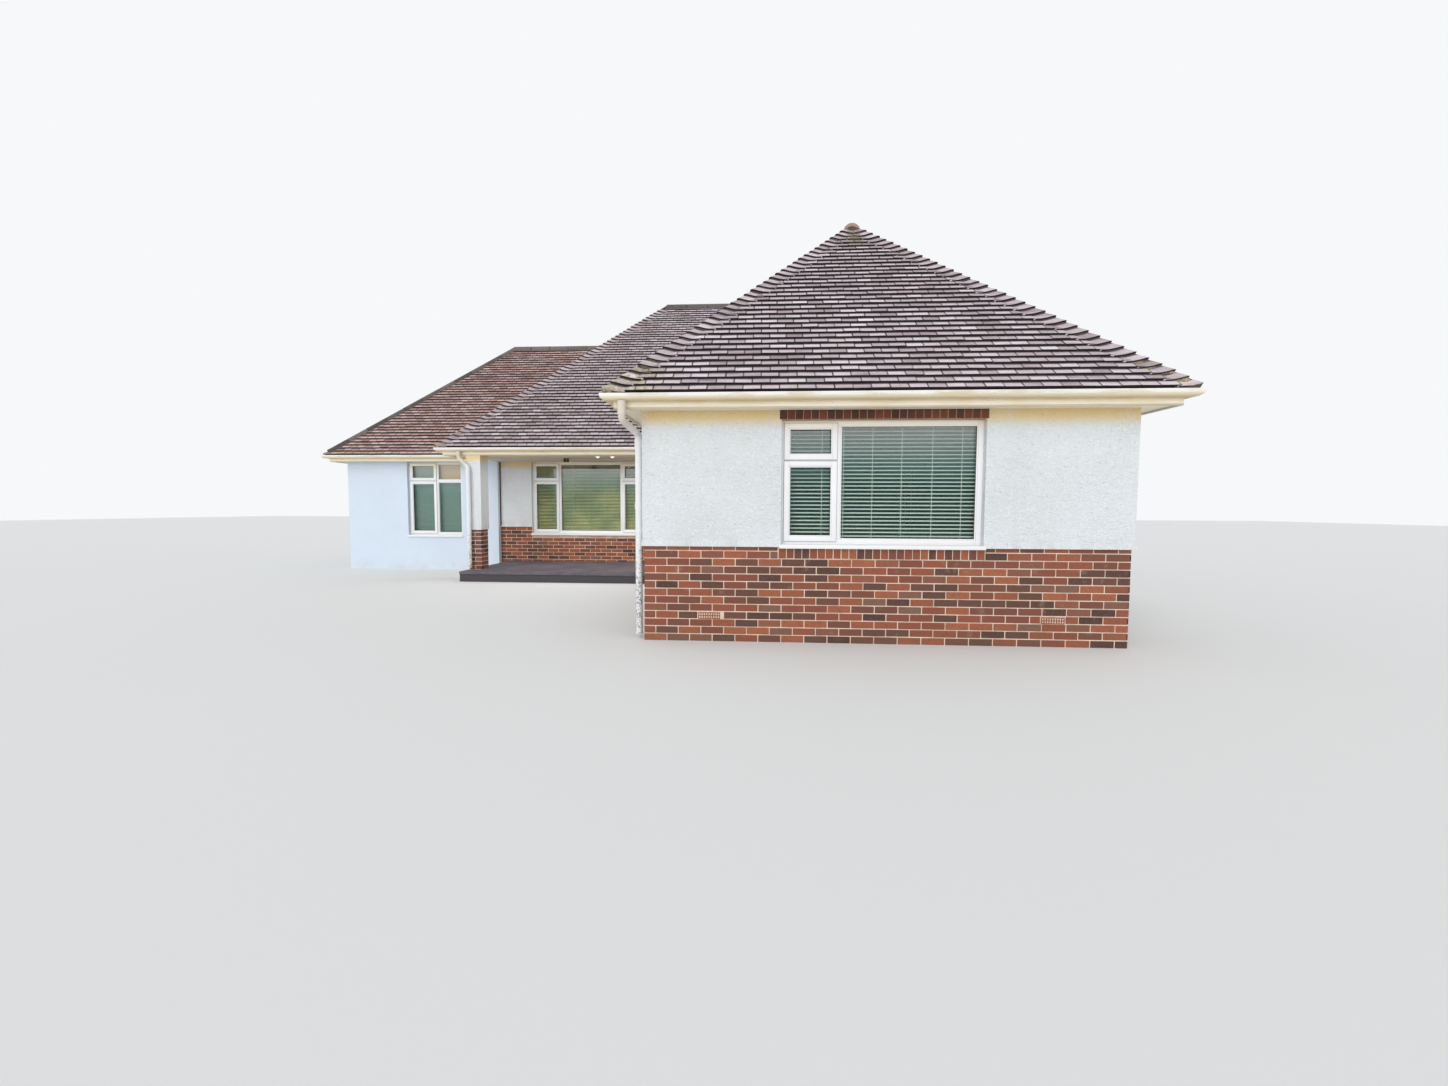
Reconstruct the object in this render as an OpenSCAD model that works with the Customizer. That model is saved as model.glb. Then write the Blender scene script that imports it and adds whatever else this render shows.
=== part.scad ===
// Hipped bungalow: a front wing, a main block with an open porch, and a side extension.
// Millimetres, +Z up. X runs along the front and Y from the front wall to the back.

/* [Plan] */
// Width of the front wing over its walls
wing_w = 4650; // [4300:50:5200]
// Wall line under the main eave, behind the front wall
main_y = 4740; // [4400:20:5100]
// Front wall to back wall
house_d = 11300; // [10900:50:12000]
// Wall line under the main roof's left eave, left of the wing
main_left = 4320; // [4200:20:4700]
// Width of the extension beyond that line
ext_w = 3220; // [2900:20:3700]
// Face of the wall at the back of the porch, behind the front wall
porch_y = 6270; // [6050:10:6500]
// How far the extension's wall stands forward of the porch wall
ext_step = 100; // [60:5:150]
// Right-hand end of the extension's front wall, inside the main roof's left line
ext_return = 25; // [0:5:60]

/* [Walls] */
// Thickness of the outer walls
wall_t = 280; // [230:10:330]
// Ground to the underside of the eaves
soffit_h = 2250; // [2200:10:2400]
// Height of the brick plinth
plinth_h = 937.5; // [900:7.5:975]
// How far the brickwork lies behind the render
brick_inset = 20; // [10:1:30]
// Height of the brickwork under the porch, 12 courses of it
porch_plinth_h = 900; // [825:37.5:937.5]
// Height and reach of the flared drip at the foot of the render
drip_h = 60; // [40:5:80]
drip_out = 16; // [8:1:24]

/* [Roof] */
// Slope of every roof face
roof_pitch = 45; // [42:0.5:47]
// Wall face to the lowest edge of the tiles
eave_out = 270; // [250:5:300]
// Thickness of tiles, battens and rafters together, square to the slope
roof_t = 120; // [100:5:140]
// Thickness of the tile layer alone, square to the slope
tile_t = 35; // [28:1:42]
// Underside of the eaves to the tiles' top edge
eave_h = 150; // [140:5:180]
// Radius of the ridge tiles, and how deep their axis lies under the ridge
ridge_r = 110; // [95:5:125]
ridge_drop = 60; // [50:5:70]
// Radius of the hip tiles, and how deep their axis lies under the hip
hip_r = 92; // [80:2:110]
hip_drop = 50; // [40:5:60]

/* [Eaves] */
// Wall face to the back of the fascia
soffit_w = 200; // [180:5:220]
// Thickness of the fascia board
fascia_t = 20; // [16:1:25]
// How far the fascia hangs below the soffit
fascia_lip = 18; // [8:1:30]
// Thickness of the soffit board
soffit_t = 12; // [9:1:18]
// Radius, wall and straight rim of the gutter
gutter_r = 55; // [50:1:58]
gutter_t = 4; // [3:0.5:5]
gutter_rim = 8; // [6:1:12]
// Underside of the eaves to the gutter's rim
gutter_h = 111; // [100:1:118]
// Distance between gutter brackets, the first one's distance from a corner, and their width
bracket_pitch = 780; // [600:20:1000]
bracket_start = 40; // [0:10:120]
bracket_w = 24; // [15:1:40]
// How far brackets and unions stand proud of the gutter, and the length of a union
strap_t = 3; // [2:0.5:5]
union_w = 100; // [70:5:130]
// Radius of the downpipes
pipe_r = 34; // [30:1:38]
// Gap between a downpipe and its wall
pipe_gap = 20; // [15:1:30]
// Gap under a downpipe's foot
foot_gap = 30; // [20:5:60]
// Outlets of the wing's and the porch's gutters, past the corner of the wall or pier
wing_outlet = 130; // [110:5:160]
porch_outlet = 105; // [90:5:130]
// Places of the two pipes, along the wing's side wall and across the pier's front
wing_pipe_y = 100; // [90:5:140]
porch_pipe_x = 62; // [60:1:90]
// Straight drop under the fascia to each swan-neck, and how steeply the wing's neck falls
wing_neck = 106; // [60:2:120]
porch_neck = 45; // [42:1:60]
wing_fall = 0.24; // [0.2:0.02:0.5]
// Height of the clips that hold a downpipe to its wall, and how far their plates pass the pipe
clip_h = 36; // [25:1:50]
clip_lug = 22; // [15:1:30]
// Heights of the upper and lower clips on a downpipe
clip_top = 1900; // [1700:20:2000]
clip_low = 1060; // [1020:20:1200]

/* [Windows] */
// Face width of the outer frames
frame_face = 48; // [40:1:60]
// Depth of the frames, and the wall face to their front
frame_d = 70; // [60:1:80]
frame_set = 70; // [50:5:90]
// Half width of the mullions and transoms
mullion_half = 27; // [22:1:34]
// Face width of the opening sashes, and how far they lap the frame
sash_face = 48; // [40:1:56]
sash_lap = 20; // [12:1:24]
// How far the sashes stand proud of the frame
sash_proud = 15; // [10:1:20]
// Thickness of the sealed glass
glass_t = 24; // [20:1:28]
// Height of the sill, its reach past the wall and its horns
sill_t = 38; // [30:1:45]
sill_out = 32; // [20:1:45]
sill_horn = 15; // [5:5:60]
// Thickness of the closed blinds, and their gap behind the frame
blind_t = 26; // [20:1:30]
blind_gap = 20; // [10:5:30]

/* [Front window] */
front_win_x = 1355; // [1205:5:1500]
front_win_z = 925; // [880:5:940]
front_win_w = 1915; // [1715:5:2115]
front_win_h = 1235; // [1180:5:1240]
// Left light's width to the mullion's centre
front_light = 545; // [480:5:620]
// Sill to the transom's centre
front_transom = 850; // [760:10:900]
// Height and depth of the brick-on-edge course over the window
header_h = 102; // [95:1:110]
header_d = 102; // [90:1:110]
// How far that course laps past the window on each side, and lies behind the render
header_lap = 20; // [10:5:40]
header_in = 10; // [5:1:20]
// How far the course under the sill stands proud of the plinth
sill_brick_out = 12; // [6:1:18]

/* [Porch window] */
porch_win_x = 675; // [600:5:800]
porch_win_z = 725; // [700:5:800]
porch_win_w = 2475; // [2400:5:2600]
porch_light = 575; // [480:5:620]
porch_transom = 1130; // [1000:5:1160]

/* [Extension window] */
ext_win_x = 1295; // [1200:5:1450]
ext_win_z = 680; // [600:5:720]
ext_win_w = 1175; // [1100:5:1250]
ext_light = 605; // [520:5:640]
ext_transom = 1170; // [1100:5:1200]

/* [Porch] */
// Height of the porch floor and of the floor indoors
floor_h = 180; // [150:5:210]
// Thickness of the porch slab and how far it oversails its step
slab_t = 45; // [35:5:60]
slab_nose = 20; // [10:5:30]
// Distance from the front wall to the slab's front edge
slab_y = 4190; // [4000:10:4300]
// Pier over its render, and its distance from the wing
pier_w = 260; // [230:5:300]
pier_d = 300; // [260:5:340]
pier_x = 3850; // [3700:10:3900]
// Width of the front door's opening and the opening's height
door_w = 930; // [860:10:980]
door_h = 2040; // [1980:10:2050]
// Distance from the porch wall to the door's opening
door_gap = 370; // [250:10:450]
// Thickness of the door's leaf
door_t = 44; // [40:1:54]
// Width of the door's stiles, height of its rails and depth of its sunk panels
door_stile = 105; // [90:5:130]
door_rail = 150; // [120:10:180]
panel_depth = 10; // [6:1:14]

/* [Hidden] */
$fn = 48;

// Levels
rise = tan(roof_pitch);
roof_v = roof_t / cos(roof_pitch);
tile_v = tile_t / cos(roof_pitch);
eave_z = soffit_h + eave_h;
plate_z = eave_z + eave_out * rise - roof_v;
wall_top = plate_z + wall_t * rise;
fascia_z = soffit_h - fascia_lip;
fascia_out = soffit_w + fascia_t;
fascia_top = eave_z + (eave_out - fascia_out) * rise - tile_v;

// The porch and extension windows reach up to the soffit
porch_win_h = soffit_h - porch_win_z;
ext_win_h = soffit_h - ext_win_z;

// Plan lines
ext_y = porch_y - ext_step;
ext_left = main_left + ext_w;
ext_end = main_left - ext_return;
east = wing_w + eave_out;
west = -main_left - eave_out;
far_west = -ext_left - eave_out;
main_eave = main_y - eave_out;
ext_eave = ext_y - eave_out;
back_eave = house_d + eave_out;
wing_half = wing_w / 2 + eave_out;
main_half = (back_eave - main_eave) / 2;
ext_half = (back_eave - ext_eave) / 2;
wing_ridge_x = wing_w / 2;
wing_ridge_y = main_eave + wing_half;
main_ridge_y = main_eave + main_half;
ext_ridge_y = ext_eave + ext_half;
reach = 450;
tall = 9000;

// Origin: centre of the outline over the gutters, at ground level
gutter_out = fascia_out + 2 * gutter_r;
centre_x = (wing_w - ext_left) / 2;
centre_y = house_d / 2;

// Places everything about the house's own origin
module place() translate([-centre_x, -centre_y, 0]) children();

// Local frame of a wall: x along it, y inwards from its face, z up
module facing(start, turn) translate([start[0], start[1], 0]) rotate([0, 0, turn]) children();

// Sweeps a section drawn as (distance inwards, height) along local x
module sweep(x0, x1) translate([x0, 0, 0]) rotate([90, 0, 90]) linear_extrude(x1 - x0) children();

// Sweeps a section drawn as (x, height) along y
module sweep_y(y0, y1) translate([0, y1, 0]) rotate([90, 0, 0]) linear_extrude(y1 - y0) children();

// A run along one wall: each end is mitred for an outer corner (1), an inner one (-1) or cut square (0)
module run(start, len, turn, m0, m1) facing(start, turn) intersection() {
    sweep(-reach, len + reach) children();
    linear_extrude(tall) polygon([
        [-m0 * reach, -reach], [len + m1 * reach, -reach],
        [len - m1 * reach, reach], [m0 * reach, reach]]);
}

module box(x0, x1, y0, y1, z0, z1) translate([x0, y0, z0]) cube([x1 - x0, y1 - y0, z1 - z0]);

// Round bar between two points
module rod(a, b, r) {
    d = b - a;
    l = norm(d);
    translate(a) rotate([0, acos(d[2] / l), atan2(d[1], d[0])]) cylinder(h = l, r = r);
}

// The space under all roof faces, lowered by drop
module under(drop) {
    z = eave_z - drop;
    intersection() {
        sweep_y(-eave_out, wing_ridge_y) polygon([
            [-eave_out, 0], [east, 0], [east, z], [wing_ridge_x, z + wing_half * rise], [-eave_out, z]]);
        sweep(-eave_out, east) polygon([
            [-eave_out, 0], [wing_ridge_y, 0], [wing_ridge_y, z + wing_half * rise],
            [wing_half - eave_out, z + wing_half * rise], [-eave_out, z]]);
    }
    intersection() {
        sweep(west, east) polygon([
            [main_eave, 0], [back_eave, 0], [back_eave, z], [main_ridge_y, z + main_half * rise], [main_eave, z]]);
        sweep_y(main_eave, back_eave) polygon([
            [west, 0], [east, 0], [east, z], [east - main_half, z + main_half * rise],
            [west + main_half, z + main_half * rise], [west, z]]);
    }
    intersection() {
        sweep(far_west, west + ext_half) polygon([
            [ext_eave, 0], [back_eave, 0], [back_eave, z], [ext_ridge_y, z + ext_half * rise], [ext_eave, z]]);
        sweep_y(ext_eave, back_eave) polygon([
            [far_west, 0], [west + ext_half, 0], [west + ext_half, z + ext_half * rise],
            [far_west + ext_half, z + ext_half * rise], [far_west, z]]);
    }
}

// One roof face over a plan outline, rising from a wall line
module slope(plan, start, turn) intersection() {
    linear_extrude(tall) polygon(plan);
    facing(start, turn) sweep(-2 * house_d, 2 * house_d) polygon([
        [-eave_out, eave_z], [main_half, eave_z + (main_half + eave_out) * rise],
        [main_half, eave_z + (main_half + eave_out) * rise - roof_v],
        [-soffit_w, eave_z + (eave_out - soffit_w) * rise - roof_v],
        [-soffit_w, eave_z + (eave_out - soffit_w) * rise - tile_v],
        [-eave_out, eave_z - tile_v]]);
}

// Round capping along a line from a to b, seated on two roof faces that fall away
// from it by fall degrees, and trimmed to a plan outline
module capping(a, b, r, drop, fall, plan) {
    d = b - a;
    l = norm(d);
    intersection() {
        translate(a) rotate([0, acos(d[2] / l), atan2(d[1], d[0])]) rotate([0, 0, 90])
            translate([0, 0, -reach]) linear_extrude(l + 2 * reach) difference() {
                translate([0, -drop]) circle(r);
                polygon([[0, 0], [2 * r, -2 * r * tan(fall)], [2 * r, -4 * r],
                    [-2 * r, -4 * r], [-2 * r, -2 * r * tan(fall)]]);
            }
        linear_extrude(tall) polygon(plan);
    }
}

// Rendered wall with a flared drip over the plinth
module render_wall(start, len, turn, m0, m1) intersection() {
    run(start, len, turn, m0, m1) polygon([
        [-drip_out, plinth_h], [-drip_out, plinth_h + 8], [0, plinth_h + drip_h],
        [0, wall_top], [wall_t, wall_top], [wall_t, plinth_h]]);
    under(roof_v);
}

// Smooth wall from the ground up
module smooth_wall(start, len, turn, m0, m1) intersection() {
    run(start, len, turn, m0, m1) translate([0, 0]) square([wall_t, wall_top]);
    under(roof_v);
}

module plinth(start, len, turn, m0, m1)
    run(start, len, turn, m0, m1) translate([brick_inset, 0]) square([wall_t - brick_inset, plinth_h]);

// Places a window or door in a wall
module opening(start, turn, x, z) facing(start, turn) translate([x, 0, z]) children();

module hole(w, h) translate([0, -reach, 0]) cube([w, reach + wall_t + 50, h]);

// Lights of a window: [left, bottom, right, top, opens]
function front_lights() = [
    [0, sill_t, front_light, front_transom, true],
    [0, front_transom, front_light, front_win_h, true],
    [front_light, sill_t, front_win_w, front_win_h, false]];
function porch_lights() = [
    [0, sill_t, porch_light, porch_transom, true],
    [0, porch_transom, porch_light, porch_win_h, true],
    [porch_light, sill_t, porch_win_w - porch_light, porch_win_h, false],
    [porch_win_w - porch_light, sill_t, porch_win_w, porch_transom, true],
    [porch_win_w - porch_light, porch_transom, porch_win_w, porch_win_h, true]];
function ext_lights() = [
    [0, sill_t, ext_light, ext_transom, true],
    [0, ext_transom, ext_light, ext_win_h, true],
    [ext_light, sill_t, ext_win_w, ext_transom, false],
    [ext_light, ext_transom, ext_win_w, ext_win_h, false]];

// Margins of a light to its glass
function margin(edge, limit) = abs(edge - limit) < 1 ? frame_face : mullion_half;
function pane(l, w, h) = let (s = l[4] ? sash_face - sash_lap : 0) [
    l[0] + margin(l[0], 0) + s, l[1] + margin(l[1], sill_t) + s,
    l[2] - margin(l[2], w) - s, l[3] - margin(l[3], h) - s];

module window_frame(w, h, lights) {
    difference() {
        union() {
            box(0, w, frame_set, frame_set + frame_d, sill_t, h);
            for (l = lights) if (l[4]) let (p = pane(l, w, h))
                box(p[0] - sash_face, p[2] + sash_face, frame_set - sash_proud, frame_set + 1,
                    p[1] - sash_face, p[3] + sash_face);
        }
        for (l = lights) let (p = pane(l, w, h))
            box(p[0], p[2], 0, wall_t, p[1], p[3]);
    }
    box(0, w, 0, frame_set + frame_d, 0, sill_t);
    box(-sill_horn, w + sill_horn, -sill_out, 0, 0, sill_t);
}

module window_glass(w, h, lights) for (l = lights) let (p = pane(l, w, h), y = frame_set + frame_d / 2)
    box(p[0], p[2], y - glass_t / 2, y + glass_t / 2, p[1], p[3]);

module window_blind(w, h) let (y = frame_set + frame_d + blind_gap) {
    box(10, w - 10, y, y + blind_t, sill_t + 25, h - 40);
    box(5, w - 5, y - 4, y + blind_t + 4, h - 40, h);
}

// Wall frames, as [start, turn]
front_f = [[0, 0], 0];
left_f = [[0, porch_y + wall_t], 270];
right_f = [[wing_w, 0], 90];
rear_f = [[wing_w, house_d], 180];
porch_f = [[-ext_end, porch_y], 0];
ext_f = [[-ext_left, ext_y], 0];
extside_f = [[-ext_left, house_d], 270];

module front_opening() opening(front_f[0], front_f[1], front_win_x, front_win_z) children();
module porch_opening() opening(porch_f[0], porch_f[1], porch_win_x, porch_win_z) children();
module ext_opening() opening(ext_f[0], ext_f[1], ext_win_x, ext_win_z) children();
// Windows of the hidden sides repeat the visible ones
module side_openings() for (y = [house_d * 0.14, house_d * 0.62])
    opening(right_f[0], right_f[1], y, porch_win_z) children();
module back_wide_opening() opening(rear_f[0], rear_f[1], wing_w / 2 + 400, porch_win_z) children();
module back_ext_opening()
    opening(rear_f[0], rear_f[1], wing_w + main_left + (ext_w - ext_win_w) / 2, ext_win_z) children();
side_win_h = porch_win_h;
function side_lights() = [
    [0, sill_t, ext_light, porch_transom, true],
    [0, porch_transom, ext_light, side_win_h, true],
    [ext_light, sill_t, ext_win_w, porch_transom, false],
    [ext_light, porch_transom, ext_win_w, side_win_h, false]];
module door_opening() opening(left_f[0], left_f[1], wall_t + door_gap, floor_h) children();

// Walls
module wing_front_wall() color("ivory") difference() {
    render_wall(front_f[0], wing_w, front_f[1], 1, 1);
    front_opening() hole(front_win_w, front_win_h);
    front_opening() box(-header_lap, front_win_w + header_lap, 0, header_in + header_d,
        front_win_h, front_win_h + header_h);
}
module wing_left_wall() color("ivory") difference() {
    render_wall(left_f[0], porch_y + wall_t, left_f[1], 0, 1);
    door_opening() hole(door_w, door_h);
}
module right_wall() color("ivory") difference() {
    render_wall(right_f[0], house_d, right_f[1], 1, 1);
    side_openings() hole(ext_win_w, side_win_h);
}
module rear_wall() color("ivory") difference() {
    union() {
        render_wall(rear_f[0], wing_w + ext_left, rear_f[1], 1, 1);
        smooth_wall([-main_left, house_d], ext_w, rear_f[1], 0, 1);
    }
    back_wide_opening() hole(porch_win_w, porch_win_h);
    back_ext_opening() hole(ext_win_w, ext_win_h);
}
module porch_wall() color("ivory") difference() {
    run(porch_f[0], ext_end, porch_f[1], 0, 0) polygon([
        [-drip_out, porch_plinth_h], [-drip_out, porch_plinth_h + 8], [0, porch_plinth_h + drip_h],
        [0, plate_z], [wall_t, plate_z], [wall_t, porch_plinth_h]]);
    porch_opening() hole(porch_win_w, porch_win_h);
}
module extension_wall() color("white") difference() {
    union() {
        smooth_wall(ext_f[0], ext_left - ext_end, ext_f[1], 1, 0);
        smooth_wall(extside_f[0], house_d - ext_y, extside_f[1], 1, 1);
    }
    ext_opening() hole(ext_win_w, ext_win_h);
}

// Brick plinths
module house_plinth() color("firebrick") difference() {
    union() {
        plinth(left_f[0], porch_y + wall_t, left_f[1], 0, 1);
        plinth(front_f[0], wing_w, front_f[1], 1, 1);
        plinth(right_f[0], house_d, right_f[1], 1, 1);
        plinth(rear_f[0], wing_w + main_left, rear_f[1], 1, 0);
        front_opening() box(-header_lap, front_win_w + header_lap,
            brick_inset - sill_brick_out, brick_inset + 1, -header_h, 0);
    }
    door_opening() hole(door_w, door_h);
    front_opening() hole(front_win_w, front_win_h);
    side_openings() hole(ext_win_w, side_win_h);
    back_wide_opening() hole(porch_win_w, porch_win_h);
}
module porch_plinth() color("firebrick") difference() {
    run(porch_f[0], ext_end + brick_inset, porch_f[1], 0, 0)
        translate([brick_inset, 0]) square([wall_t - brick_inset, porch_plinth_h]);
    porch_opening() hole(porch_win_w, porch_win_h);
}
module window_header_course() color("firebrick")
    front_opening() box(-header_lap, front_win_w + header_lap, header_in, header_in + header_d,
        front_win_h, front_win_h + header_h);

// Roof faces
module wing_roof_front() color("rosybrown") slope(
    [[-eave_out, -eave_out], [east, -eave_out], [wing_ridge_x, wing_half - eave_out]], [0, 0], 0);
module wing_roof_left() color("rosybrown") slope(
    [[-eave_out, -eave_out], [wing_ridge_x, wing_half - eave_out],
     [wing_ridge_x, wing_ridge_y], [-eave_out, main_eave]], [0, 0], 270);
module right_roof() color("rosybrown") slope(
    [[east, -eave_out], [east, back_eave], [east - main_half, main_ridge_y],
     [wing_ridge_x, wing_ridge_y], [wing_ridge_x, wing_half - eave_out]], [wing_w, 0], 90);
module main_roof_front() color("rosybrown") slope(
    [[west, main_eave], [-eave_out, main_eave], [wing_ridge_x, wing_ridge_y],
     [east - main_half, main_ridge_y], [west + main_half, main_ridge_y]], [0, main_y], 0);
module main_roof_left() color("rosybrown") slope(
    [[west, main_eave], [west + main_half, main_ridge_y],
     [west + ext_half, ext_ridge_y], [west, ext_eave]], [-main_left, 0], 270);
module rear_roof() color("rosybrown") slope(
    [[far_west, back_eave], [east, back_eave], [east - main_half, main_ridge_y],
     [west + main_half, main_ridge_y], [west + ext_half, ext_ridge_y],
     [far_west + ext_half, ext_ridge_y]], [0, house_d], 180);
module extension_roof_front() color("sienna") slope(
    [[far_west, ext_eave], [west, ext_eave], [west + ext_half, ext_ridge_y],
     [far_west + ext_half, ext_ridge_y]], [0, ext_y], 0);
module extension_roof_left() color("sienna") slope(
    [[far_west, ext_eave], [far_west + ext_half, ext_ridge_y], [far_west, back_eave]],
    [-ext_left, 0], 270);

// Ridge and hip tiles, with a hair joint where a ridge meets its hips
joint = 0.5;
wing_apex = [wing_ridge_x, wing_half - eave_out, eave_z + wing_half * rise];
wing_back = [wing_ridge_x, wing_ridge_y, eave_z + wing_half * rise];
main_l = [west + main_half, main_ridge_y, eave_z + main_half * rise];
main_r = [east - main_half, main_ridge_y, eave_z + main_half * rise];
ext_l = [far_west + ext_half, ext_ridge_y, eave_z + ext_half * rise];
ext_r = [west + ext_half, ext_ridge_y, eave_z + ext_half * rise];
hip_fall = acos(cos(roof_pitch) * cos(roof_pitch)) / 2;
side = 300;
module hip(foot, head, plan) capping(foot, head, hip_r, hip_drop, hip_fall, plan);
module ridge(a, b, plan) capping(a, b, ridge_r, ridge_drop, roof_pitch, plan);
module wing_hip_tiles() color("dimgray") {
    x = wing_apex[0];
    y = wing_apex[1];
    hip([-eave_out, -eave_out, eave_z], wing_apex,
        [[-eave_out, -eave_out], [x - joint, -eave_out], [x - joint, y], [-eave_out, y]]);
    hip([east, -eave_out, eave_z], wing_apex,
        [[east, -eave_out], [east, y], [x + joint, y], [x + joint, -eave_out]]);
    ridge(wing_apex, wing_back, [[x - side, y + joint], [x + side, y + joint],
        [x + side, wing_ridge_y - joint], [x - side, wing_ridge_y - joint]]);
}
module main_hip_tiles() color("dimgray") {
    y = main_ridge_y;
    front = y - joint;
    back = y + joint;
    hip([west, main_eave, eave_z], main_l,
        [[west, main_eave], [main_l[0], main_eave], [main_l[0], front], [west, front]]);
    hip(ext_r, main_l, [[ext_r[0], back], [main_l[0], back], [main_l[0], back_eave], [ext_r[0], back_eave]]);
    hip(wing_back, main_r, [[main_r[0], wing_ridge_y], [east, wing_ridge_y], [east, front], [main_r[0], front]]);
    hip([east, back_eave, eave_z], main_r,
        [[east, back_eave], [main_r[0], back_eave], [main_r[0], back], [east, back]]);
    ridge(main_l, main_r, [[main_l[0] + joint, y - side], [main_r[0] - joint, y - side],
        [main_r[0] - joint, y + side], [main_l[0] + joint, y + side]]);
}
module extension_hip_tiles() color("dimgray") {
    y = ext_ridge_y;
    hip([far_west, ext_eave, eave_z], ext_l,
        [[far_west, ext_eave], [ext_l[0], ext_eave], [ext_l[0], y - joint], [far_west, y - joint]]);
    hip([far_west, back_eave, eave_z], ext_l,
        [[far_west, back_eave], [far_west, y + joint], [ext_l[0], y + joint], [ext_l[0], back_eave]]);
    ridge(ext_l, ext_r, [[ext_l[0] + joint, y - side], [ext_r[0] - joint, y - side],
        [ext_r[0] - joint, y + side], [ext_l[0] + joint, y + side]]);
}

// Windows
module front_window_frame() color("white")
    front_opening() window_frame(front_win_w, front_win_h, front_lights());
module front_window_glass() color("lightblue", 0.5)
    front_opening() window_glass(front_win_w, front_win_h, front_lights());
module porch_window_frame() color("white")
    porch_opening() window_frame(porch_win_w, porch_win_h, porch_lights());
module porch_window_glass() color("lightblue", 0.5)
    porch_opening() window_glass(porch_win_w, porch_win_h, porch_lights());
module extension_window_frame() color("white")
    ext_opening() window_frame(ext_win_w, ext_win_h, ext_lights());
module extension_window_glass() color("lightblue", 0.5)
    ext_opening() window_glass(ext_win_w, ext_win_h, ext_lights());
module window_blinds() color("whitesmoke") {
    front_opening() window_blind(front_win_w, front_win_h);
    porch_opening() window_blind(porch_win_w, porch_win_h);
    ext_opening() window_blind(ext_win_w, ext_win_h);
}
module back_window_frames() color("white") {
    side_openings() window_frame(ext_win_w, side_win_h, side_lights());
    back_wide_opening() window_frame(porch_win_w, porch_win_h, porch_lights());
    back_ext_opening() window_frame(ext_win_w, ext_win_h, ext_lights());
}
module back_window_glass() color("lightblue", 0.5) {
    side_openings() window_glass(ext_win_w, side_win_h, side_lights());
    back_wide_opening() window_glass(porch_win_w, porch_win_h, porch_lights());
    back_ext_opening() window_glass(ext_win_w, ext_win_h, ext_lights());
}

// Front door, in the wing's wall beside the porch
module front_door_frame() color("white") door_opening() difference() {
    box(0, door_w, frame_set, frame_set + frame_d, 0, door_h);
    box(frame_face, door_w - frame_face, 0, wall_t, frame_face, door_h - frame_face);
}
module front_door() color("white") door_opening() {
    y = frame_set + (frame_d - door_t) / 2;
    panel_w = (door_w - 2 * frame_face - 3 * door_stile) / 2;
    panel_h = (door_h - 2 * frame_face - 3 * door_rail) / 2;
    difference() {
        box(frame_face, door_w - frame_face, y, y + door_t, frame_face, door_h - frame_face);
        for (i = [0, 1]) for (j = [0, 1])
            translate([frame_face + door_stile + i * (panel_w + door_stile), y - 1,
                frame_face + door_rail + j * (panel_h + door_rail)])
                cube([panel_w, panel_depth + 1, panel_h]);
    }
}

// Porch
module porch_pier() color("ivory") {
    inset = brick_inset;
    box(-pier_x - pier_w + inset, -pier_x - inset, main_y - fascia_out + inset,
        main_y - fascia_out + pier_d - inset, floor_h, porch_plinth_h);
    box(-pier_x - pier_w, -pier_x, main_y - fascia_out, main_y - fascia_out + pier_d,
        porch_plinth_h, fascia_z);
}
beam_back = main_y - fascia_out + pier_d;
module porch_beam() color("ivory") intersection() {
    sweep(-main_left - soffit_w, 0) polygon([
        [main_y - soffit_w, fascia_z], [beam_back, fascia_z],
        [beam_back, tall], [main_y - soffit_w, tall]]);
    under(roof_v);
}
module porch_ceiling() color("gainsboro") translate([0, 0, soffit_h]) linear_extrude(soffit_t) polygon([
    [-main_left, beam_back], [0, beam_back], [0, porch_y], [-ext_end, porch_y],
    [-ext_end, ext_y], [-main_left, ext_y]]);
module porch_floor() color("slategray") {
    edge = -pier_x - pier_w;
    box(edge, brick_inset, slab_y + slab_nose, porch_y + brick_inset, 0, floor_h - slab_t);
    box(edge, brick_inset, slab_y, porch_y + brick_inset, floor_h - slab_t, floor_h);
}
module ground_floor() color("tan") linear_extrude(floor_h) polygon([
    [wall_t, wall_t], [wing_w - wall_t, wall_t], [wing_w - wall_t, house_d - wall_t],
    [wall_t - ext_left, house_d - wall_t], [wall_t - ext_left, ext_y + wall_t],
    [-ext_end, ext_y + wall_t], [-ext_end, porch_y + wall_t], [wall_t, porch_y + wall_t]]);

// Boxed eaves: fascia board and soffit
module fascia_2d() polygon([
    [-fascia_out, fascia_z], [-fascia_out, fascia_top], [-soffit_w, fascia_top], [-soffit_w, fascia_z]]);
module soffit_2d() translate([-soffit_w, soffit_h]) square([soffit_w, soffit_t]);
module eaves_2d() { fascia_2d(); soffit_2d(); }
// Each outer side in turn, as [start, length, turn, mitre at the start, mitre at the end]
house_lines = [
    [[0, main_y], main_y, 270, -1, 1], [[0, 0], wing_w, 0, 1, 1],
    [[wing_w, 0], house_d, 90, 1, 1], [[wing_w, house_d], wing_w + ext_left, 180, 1, 1]];
extension_lines = [
    [[-ext_left, house_d], house_d - ext_y, 270, 1, 1], [[-ext_left, ext_y], ext_w, 0, 1, -1]];
porch_lines = [
    [[-main_left, ext_y], ext_y - main_y, 270, -1, 1], [[-main_left, main_y], main_left, 0, 1, -1]];
module runs(lines) for (l = lines) run(l[0], l[1], l[2], l[3], l[4]) children();
module house_eaves() color("ivory") runs(house_lines) eaves_2d();
module extension_eaves() color("ivory") runs(extension_lines) eaves_2d();
module porch_eaves() color("ivory") {
    runs(porch_lines) fascia_2d();
    run([-main_left, ext_y], ext_y - beam_back, 270, -1, 0) soffit_2d();
}

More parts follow.
